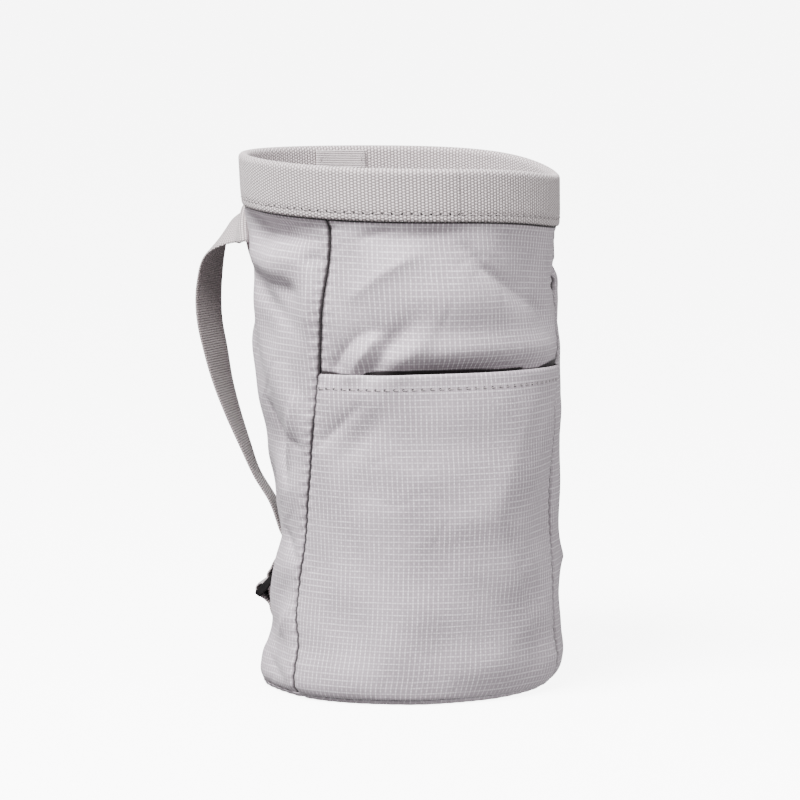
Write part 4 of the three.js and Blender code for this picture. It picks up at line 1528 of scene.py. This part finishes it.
@dataclass
class StrapAndBuckle:
    """The strap from its sewn patch to the buckle, the buckle and the loop that holds it.

    Lengths are in millimetres and angles in degrees. side is the bag angle that the strap stands
    out toward, and lean and turn set the buckle's slope down to the wall.
    """

    form: BagForm
    width: float = 20.0
    thickness: float = 1.3
    side: float = -111.0
    patch_angle: float = -119.0
    patch_height: float = 182.2
    patch_length: float = 18.0
    patch_heading: float = 45.0
    hairpin_radius: float = 1.2
    hairpin_sweep: float = 142.0
    bar: float = 2.8
    slot_length: float = 4.9
    buckle_thickness: float = 2.8
    buckle_reach: float = 54.405
    buckle_back: float = 28.799
    buckle_bevel: float = 0.4
    buckle_height: float = 39.6
    lean: float = 41.5
    turn: float = 11.5
    anchor_thickness: float = 1.2
    anchor_angle: float = -141.0
    anchor_heading: float = 75.0
    anchor_closing: float = 22.0
    anchor_bend: float = 1.2
    anchor_bow: float = 0.6
    anchor_layer_gap: float = 0.4
    anchor_landing: float = 21.0
    anchor_landing_turn: float = 40.0
    anchor_foot: float = 9.0
    # Where the painted shade on the strap's inner face starts along the strap, and how far it fades in.
    inner_shade_start: float = 24.0
    inner_shade_fade: float = 6.0
    rounding: float = 0.28
    lines: int = 25
    step: float = 0.8

    def __post_init__(self) -> None:
        """Work out the axes of the strap's side and of the buckle."""
        side = math.radians(self.side)
        self.out_axis = np.array([math.sin(side), -math.cos(side), 0.0])
        self.back_axis = -np.cross(UP, self.out_axis)
        lean, turn = math.radians(self.lean), math.radians(self.turn)
        level = self.out_axis * math.cos(turn) + self.back_axis * math.sin(turn)
        self.along = UP * math.cos(lean) - level * math.sin(lean)
        self.across = -self.out_axis * math.sin(turn) + self.back_axis * math.cos(turn)
        self.face = np.cross(self.along, self.across)
        self.centre = self.side_point(self.buckle_reach, self.buckle_back, self.buckle_height)
        self.pitch = self.bar + self.slot_length
        self.shares = np.linspace(-0.5, 0.5, self.lines)

    def side_point(self, reach: Array, back: Array, height: Array) -> Array:
        """Points by their distance out on the strap's side, behind it and up."""
        reach, back, height = (np.asarray(v, float)[..., None] for v in (reach, back, height))
        return self.out_axis * reach + self.back_axis * back + UP * height

    def level_rows(self, centres: Array, across: Array) -> Array:
        """Rows of webbing: each centre spread along its across direction."""
        across = np.broadcast_to(across, centres.shape)
        return centres[:, None] + across[:, None] * (self.shares * self.width)[None, :, None]

    def patch_rows(self) -> Array:
        """Rows of the patch sewn flat on the wall, from its end up to the hairpin.

        Returns:
            Rows, lines across, xyz.
        """
        heading = math.radians(self.patch_heading)
        back = np.linspace(self.patch_length, 0, 12)[:, None]
        side = (self.shares * self.width)[None, :]
        aside = back * math.cos(heading) + side * math.sin(heading)
        height = self.patch_height - back * math.sin(heading) + side * math.cos(heading)
        angle = self.patch_angle - np.degrees(aside / self.form.radius)
        return self.form.point(angle, height, self.form.clearance + self.thickness / 2)

    def hairpin_rows(self, patch: Array) -> Array:
        """Rows that turn the webbing back over the patch: an arc about a line past its last row.

        Args:
            patch: the patch's rows.

        Returns:
            Rows, lines across, xyz.
        """
        sweep = np.radians(np.linspace(0, self.hairpin_sweep, 9)[1:])[:, None, None]
        ahead = unit(patch[-1] - patch[-2])
        across = unit(patch[-1, -1] - patch[-1, 0])
        outward = unit(np.cross(ahead, across))
        return patch[-1] + self.hairpin_radius * ((1 - np.cos(sweep)) * outward + np.sin(sweep) * ahead)

    def run_rows(self) -> Array:
        """Rows of the free run, from the hairpin down to the buckle.

        Returns:
            Rows, lines across, xyz.
        """
        down = np.linspace(STRAP_RUN.rows[0][0], STRAP_RUN.rows[-1][0], 31)
        reach, back = (STRAP_RUN.at(name, down) * self.form.radius for name in ("reach", "back"))
        tip, turn = (np.radians(STRAP_RUN.at(name, down))[:, None] for name in ("tip", "turn"))
        level = np.cos(turn) * self.back_axis - np.sin(turn) * self.out_axis
        across = np.sin(tip) * UP + np.cos(tip) * level
        return self.level_rows(self.side_point(reach, back, -down * self.form.height), across)

    def in_buckle(self, path: Array) -> Array:
        """Rows of webbing on a path given along the buckle and out of its face."""
        centres = self.centre + path[:, :1] * self.along + path[:, 1:] * self.face
        return self.level_rows(centres, self.across)

    def threaded_path(self) -> Array:
        """Path over the upper bar, round the middle bar and out again as a short tail.

        Returns:
            Points along the buckle and out of its face.
        """
        half, bar, pitch = self.buckle_thickness / 2, self.bar, self.pitch
        layer = self.thickness / 2 + self.form.clearance
        wrap = math.hypot(half, bar / 2) + layer
        tail = half + layer
        load = tail + 2 * layer
        turns = np.radians([80, 115, 150, 180, 210, 240, 270, 300, 330])
        round_bar = together(wrap * np.cos(turns), wrap * np.sin(turns))
        before = [(pitch + 1.5 * bar, load), (pitch, load), (pitch / 2, (load + wrap) / 2 + 0.25 * layer)]
        leaving = [(wrap * 1.02, -wrap * 0.02), (wrap * 1.35, tail * 0.8)]
        return np.concatenate([before, round_bar, leaving, [(pitch, tail), (pitch + 1.4 * bar, tail)]])

    def smooth(self, rows: Array) -> tuple[Array, Array]:
        """Rows read again at even steps along their middle line, on smooth curves.

        Args:
            rows: rows, lines across, xyz.

        Returns:
            The new rows and the distance along at each.
        """
        length = distances(rows[:, rows.shape[1] // 2])
        even = np.linspace(0, length[-1], int(length[-1] / self.step))
        return hermite(length, rows, even), even

    def strap(self, material: Material) -> Piece:
        """Build the strap in one length.

        Args:
            material: its finish.

        Returns:
            The new object.
        """
        patch = self.patch_rows()
        threaded = self.in_buckle(self.threaded_path())
        rows = np.concatenate([patch, self.hairpin_rows(patch), self.run_rows(), threaded])
        middle, length = self.smooth(rows)
        # Painted shade on the strap's inner face, from just past the hairpin on.
        inner_shade = smooth_step((length - self.inner_shade_start) / self.inner_shade_fade)
        mesh = ribbon(middle, self.thickness, length, self.width, inner_shade=inner_shade)
        return mesh.piece("strap_webbing", material, Slot.WEBBING, "strap")

    def anchor_rows(self) -> Array:
        """Rows of the holding loop: up one layer from the wall, round the lower bar and back.

        The loop closes on the bar at anchor_closing to either side of its heading, and its two
        layers run down side by side to a mitred turn on to the wall.

        Returns:
            Rows, lines across, xyz.
        """
        half = self.anchor_thickness / 2
        apart = half + self.anchor_layer_gap / 2
        wrap = math.hypot(self.bar / 2, self.bar / 2 - self.buckle_bevel) + self.form.clearance + half
        closing = math.radians(self.anchor_closing)
        meet = wrap * math.sin(closing) + (wrap * math.cos(closing) - apart) / math.tan(closing)
        bend = (meet - self.anchor_bend, apart + self.anchor_bend * math.tan(closing))
        neck = meet + self.anchor_bend
        turns = np.linspace(-math.pi / 2 - closing, math.pi / 2 + closing, 9)
        arc = together(-wrap * np.cos(turns), wrap * np.sin(turns))
        loop = self.about_bar(np.concatenate([[(bend[0], -bend[1])], arc, [bend]]))
        angle = self.anchor_angle - np.degrees(self.shares * self.width / self.form.radius)
        middle = self.form.clearance + self.anchor_thickness + self.anchor_layer_gap / 2
        turn = math.tan(math.radians(self.anchor_landing_turn / 2))

        def layer(side: float) -> Array:
            """One layer from beside the bar down to the foot, bowed a little."""
            top = self.about_bar(np.array([(neck, side * apart)]))
            heights = np.linspace(self.anchor_landing - side * apart * turn, self.anchor_foot, 6)
            foot = self.form.point(angle[None, :], heights[:, None], middle + side * apart)
            share = np.array([0.33, 0.67])[:, None, None]
            free = top + (foot[:1] - top) * share - self.along * self.anchor_bow * np.sin(math.pi * share)
            return np.concatenate([top, free, foot])

        return np.concatenate([layer(-1)[::-1], loop, layer(1)])

    def about_bar(self, places: Array) -> Array:
        """Rows at places given away from the lower bar on the anchor's heading and to its side.

        Args:
            places: pairs of away and to the side.

        Returns:
            Rows, lines across, xyz.
        """
        heading = math.radians(self.anchor_heading)
        away, side = places[:, 0], places[:, 1]
        along = -self.pitch - away * math.cos(heading) - side * math.sin(heading)
        out = side * math.cos(heading) - away * math.sin(heading)
        return self.in_buckle(together(along, out))

    def anchor(self, material: Material) -> Piece:
        """Build the folded webbing that holds the buckle.

        Args:
            material: its finish.

        Returns:
            The new object.
        """
        middle, length = self.smooth(self.anchor_rows())
        mesh = ribbon(middle, self.anchor_thickness, length, self.width)
        return mesh.piece("anchor_webbing", material, Slot.WEBBING, "buckle_anchor")

    def buckle(self, material: Material) -> Piece:
        """Copy the frame's buckle, merge its triangles and round its edges.

        Args:
            material: its finish.

        Returns:
            The new object.
        """
        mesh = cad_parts["strap_buckle"].data.copy()
        mesh.name = "strap_buckle_body"
        work = bmesh.new()
        work.from_mesh(mesh)
        bmesh.ops.remove_doubles(work, verts=work.verts, dist=0.00001)
        bmesh.ops.dissolve_limit(work, angle_limit=math.radians(1), verts=work.verts, edges=work.edges)
        work.to_mesh(mesh)
        work.free()
        mesh.materials.clear()
        mesh.materials.append(material)
        piece = bpy.data.objects.new("strap_buckle_body", mesh)
        bevel = piece.modifiers.new("rounding", "BEVEL")
        bevel.width = self.rounding * METRE
        bevel.segments = 3
        bevel.limit_method = "ANGLE"
        bevel.angle_limit = math.radians(25)
        bevel.harden_normals = True
        mesh.polygons.foreach_set("use_smooth", np.ones(len(mesh.polygons), bool))
        return place(piece, Slot.PLASTIC, "strap_buckle")

    def build(self) -> None:
        """Build the strap, the anchor and the buckle."""
        colours = {"top": srgb(216, 206, 207), "gap": srgb(132, 121, 122)}
        webbing = WebbingFinish("webbing_strap", Weave.CHAINS, chain=1.0, bead=1.1, **colours).material()
        self.strap(webbing)
        self.anchor(webbing)
        self.buckle(PlasticFinish("plastic_black").material())


@dataclass(frozen=True)
class Thread:
    """One kind of stitch: a short length of thread that dives into the cloth at both ends."""

    pitch: float = 3.8
    length: float = 2.9
    radius: float = 0.20
    rings: int = 7
    sides: int = 6
    aim: float = 0.3

    def one(self) -> tuple[Array, Array, Array, Array]:
        """One stitch: its points ahead, across and up, and its faces.

        A tube whose middle line falls with the fourth power of the share along, and whose width
        falls with the root of one minus the sixth.

        Returns:
            Three arrays of rings by sides, and the faces.
        """
        s = np.linspace(-1, 1, self.rings)
        lift = self.radius * (1.1 - 2.6 * s**4)
        width = self.radius * np.sqrt(np.clip(1.02 - s**6, 0.02, 1))
        phi = np.linspace(0, 2 * math.pi, self.sides, endpoint=False)
        ahead = (s * self.length / 2)[:, None] + 0 * phi[None, :]
        across = width[:, None] * np.cos(phi)[None, :]
        up = width[:, None] * np.sin(phi)[None, :] + lift[:, None]
        index = np.arange(self.rings * self.sides).reshape(self.rings, self.sides)
        return ahead, across, up, tube_faces(index)

    def row(self, path: Array, normals: Array, closed: bool = False) -> GridMesh:
        """Stitches at even steps along a path.

        Args:
            path: points along the row, close together.
            normals: the cloth's outward normal at each.
            closed: whether the row is a loop that takes whole stitches.

        Returns:
            All the stitches in one mesh.
        """
        along = distances(path)
        count = max(int(round(along[-1] / self.pitch)), 1)
        at = (np.arange(count) + 0.5) * (along[-1] / count if closed else self.pitch)

        def read(rows: Array, where: Array) -> Array:
            """Rows of three numbers read between the path's points."""
            return together(*(np.interp(where, along, column) for column in rows.T))

        up = unit(read(normals, at))
        ahead = unit(read(path, at + self.aim) - read(path, at - self.aim))
        axes = (ahead, np.cross(up, ahead), up)
        *shape, one = self.one()
        points = read(path, at)[:, None, None] + sum(
            part[None, ..., None] * axis[:, None, None] for part, axis in zip(shape, axes)
        )
        faces = one[None] + (np.arange(count) * shape[0].size)[:, None, None]
        uv = together(*shape[:2]).reshape(-1, 2)
        return GridMesh(points.reshape(-1, 3), faces.reshape(-1, 4), np.tile(uv, (count, 1)))


def joined(*meshes: GridMesh) -> GridMesh:
    """Several meshes as one.

    Args:
        meshes: the meshes, none with marks.

    Returns:
        The one mesh.
    """
    starts = np.cumsum([0] + [len(mesh.points) for mesh in meshes[:-1]])
    return GridMesh(
        np.concatenate([mesh.points for mesh in meshes]),
        np.concatenate([mesh.faces + start for mesh, start in zip(meshes, starts)]),
        np.concatenate([mesh.uv for mesh in meshes]),
    )


@dataclass
class Stitching:
    """The rows of stitches that show, in millimetres."""

    form: BagForm
    band: RimBand
    panels: Panels
    straps: StrapAndBuckle
    sink: float = 0.12
    groove: float = 0.2
    probe: float = 0.5
    hem_margin: float = 1.5
    tab_start: float = 3.5
    tab_end: float = 1.5
    margin: float = 2.0

    def on_bag(self, angle: Array, height: Array, out: float, hollow: bool = True) -> tuple[Array, Array]:
        """Points on the bag and the outward normal there, by small steps to both sides.

        Args:
            angle: bag angles.
            height: heights in millimetres.
            out: distance outside the wall's outer face.
            hollow: whether the wall stands back behind the pocket's mouth.

        Returns:
            The points and their normals.
        """
        at, step = self.form.point, self.probe
        side = at(angle + step, height, out, hollow) - at(angle - step, height, out, hollow)
        above = at(angle, height + step, out, hollow) - at(angle, height - step, out, hollow)
        return at(angle, height, out, hollow), unit(np.cross(side, above))

    def band_rows(self) -> GridMesh:
        """The row through the band, as it shows outside and inside.

        Returns:
            The stitches of both sides.
        """
        form, band = self.form, self.band
        around = np.linspace(0, -360, 721)
        height = np.full_like(around, form.height - form.band_drop + band.stitch_rise)
        thread = Thread(pitch=band.stitch_pitch)
        outside, normal = self.on_bag(around, height, band.outside - self.groove - self.sink)
        inside, inward = self.on_bag(around, height, band.inside + self.groove + self.sink)
        return joined(thread.row(outside, normal, True), thread.row(inside, -inward, True))

    def hem_row(self) -> GridMesh:
        """The row along the pocket's hem.

        Returns:
            Its stitches.
        """
        panels = self.panels
        height = panels.pocket_height - panels.hem_stitch_drop
        left, right = panels.pocket_seams(height)
        angle = np.linspace(left + self.hem_margin, right - self.hem_margin, 300)
        rise = panels.mouth_lift(angle, height, left, right)
        path, normal = self.on_bag(angle, height + rise, panels.pocket_lift - self.sink, hollow=False)
        return Thread(pitch=panels.hem_stitch_pitch, length=2.7, radius=0.17).row(path, normal)

    def tab_rows(self) -> GridMesh:
        """Two upright rows near the tab's sides.

        Returns:
            Their stitches.
        """
        form, band = self.form, self.band
        out = band.inside - form.clearance - band.tab_thickness + self.sink
        height = form.height - np.linspace(self.tab_start, band.tab_drop - self.tab_end, 40)
        half = math.degrees((band.tab_width / 2 - self.margin) / form.radius)
        thread = Thread(pitch=3.4, length=2.6, radius=0.18)
        rows = []
        for way in (-1, 1):
            path, normal = self.on_bag(np.full(40, band.tab_angle + way * half), height, out)
            rows.append(thread.row(path, -normal))
        return joined(*rows)

    def anchor_box(self) -> GridMesh:
        """The box that holds the anchor's foot: four straight rows, corner to corner.

        Returns:
            Its stitches.
        """
        straps = self.straps
        half = math.degrees((straps.width / 2 - self.margin) / self.form.radius)
        low, high = straps.anchor_foot + self.margin, straps.anchor_landing - self.margin
        left, right = straps.anchor_angle - half, straps.anchor_angle + half
        corners = np.array([(left, low), (right, low), (right, high), (left, high), (left, low)])
        out = self.form.clearance + 2 * straps.anchor_thickness + straps.anchor_layer_gap - self.sink
        thread = Thread(pitch=3.0, length=2.3, radius=0.18)
        share = np.linspace(0, 1, 30)
        rows = []
        for start, end in zip(corners[:-1], corners[1:]):
            angle, height = (a + (b - a) * share for a, b in zip(start, end))
            rows.append(thread.row(*self.on_bag(angle, height, out)))
        return joined(*rows)

    def build(self) -> None:
        """Build every row of stitches."""
        thread = ThreadFinish("sewing_thread").material()
        self.band_rows().piece("band_stitches", thread, Slot.WEBBING)
        self.hem_row().piece("hem_stitches", thread, Slot.WEBBING)
        self.tab_rows().piece("tab_stitches", thread, Slot.WEBBING)
        self.anchor_box().piece("anchor_stitches", thread, Slot.WEBBING)


@dataclass(frozen=True)
class Lamp:
    """A soft square lamp: where it stands from the bag, its size in metres and its power in watts."""

    name: str
    azimuth: float
    elevation: float
    away: float
    size: float
    power: float


@dataclass(frozen=True)
class Studio:
    """Camera, floor and lights, in metres and degrees."""

    azimuth: float = -21.0
    elevation: float = 7.2
    distance: float = 1.9
    aside: float = -0.0054
    height: float = 0.114
    focal_pixels: float = 4750.0
    frame_pixels: float = 800.0
    sensor: float = 36.0
    floor_reach: float = 30.0
    floor_glow: float = 7.0
    surround: float = 0.46
    lamps: tuple[Lamp, ...] = (
        Lamp("key", -56.0, 55.0, 1.6, 0.7, 88.0),
        Lamp("fill", 38.0, 18.0, 2.6, 1.2, 32.0),
    )

    def stand(self, thing: Piece, azimuth: float, elevation: float, away: float, aside: float) -> None:
        """Stand a camera or lamp at those angles from the bag, turned to face it.

        Args:
            thing: the object to place and link.
            azimuth: bag angle that it stands at.
            elevation: angle above the level.
            away: distance from the point that it faces.
            aside: how far that point lies to the side of the bag's axis.
        """
        a, e = math.radians(azimuth), math.radians(elevation)
        target = Vector((math.cos(a), math.sin(a), 0)) * aside + Vector((0, 0, self.height))
        toward = Vector((math.sin(a) * math.cos(e), -math.cos(a) * math.cos(e), math.sin(e)))
        thing.location = target + toward * away
        thing.rotation_euler = toward.to_track_quat("Z", "Y").to_euler()
        bpy.context.scene.collection.objects.link(thing)

    def camera(self) -> None:
        """Stand the camera where the photograph was taken from."""
        data = bpy.data.cameras.new("photo_camera")
        data.sensor_width = self.sensor
        data.lens = self.focal_pixels / self.frame_pixels * self.sensor
        camera = bpy.data.objects.new("photo_camera", data)
        self.stand(camera, self.azimuth, self.elevation, self.distance, self.aside)
        bpy.context.scene.camera = camera

    def light(self, lamp: Lamp) -> None:
        """Add one lamp.

        Args:
            lamp: the lamp to add.
        """
        data = bpy.data.lights.new(lamp.name, "AREA")
        data.size = lamp.size
        data.energy = lamp.power
        self.stand(bpy.data.objects.new(lamp.name, data), lamp.azimuth, lamp.elevation, lamp.away, 0.0)

    def floor(self) -> None:
        """Lay a wide pale floor whose own light stays off the bag, so that its folds keep their shade."""
        r = self.floor_reach
        mesh = bpy.data.meshes.new("studio_floor")
        mesh.from_pydata([(-r, -r, 0), (r, -r, 0), (r, r, 0), (-r, r, 0)], [], [(0, 1, 2, 3)])
        white = {"Base Color": (0.93, 0.93, 0.93, 1), "Roughness": 0.9}
        glow = {"Emission Color": (1.0, 1.0, 1.0, 1), "Emission Strength": self.floor_glow}
        mesh.materials.append(Shader("studio_white").surface({**white, **glow}))
        floor = bpy.data.objects.new("studio_floor", mesh)
        floor.visible_diffuse = False
        floor.visible_glossy = False
        bpy.context.scene.collection.objects.link(floor)

    def world(self) -> None:
        """Give the studio a plain white surround."""
        world = bpy.data.worlds.new("studio")
        world.use_nodes = True
        background = world.node_tree.nodes["Background"]
        background.inputs["Color"].default_value = (1.0, 1.0, 1.0, 1.0)
        background.inputs["Strength"].default_value = self.surround
        bpy.context.scene.world = world

    def build(self) -> None:
        """Set up the whole studio."""
        self.camera()
        self.floor()
        self.world()
        for lamp in self.lamps:
            self.light(lamp)


def main() -> None:
    """Build the studio and every piece of the bag."""
    logging.basicConfig(level=logging.INFO, format="%(name)s %(message)s")
    Studio().build()
    form = BagForm()
    panels = Panels(form)
    band = RimBand(form)
    straps = StrapAndBuckle(form)
    for part in (panels, band, straps, Stitching(form, band, panels, straps)):
        part.build()


if __name__ == "__main__":
    main()
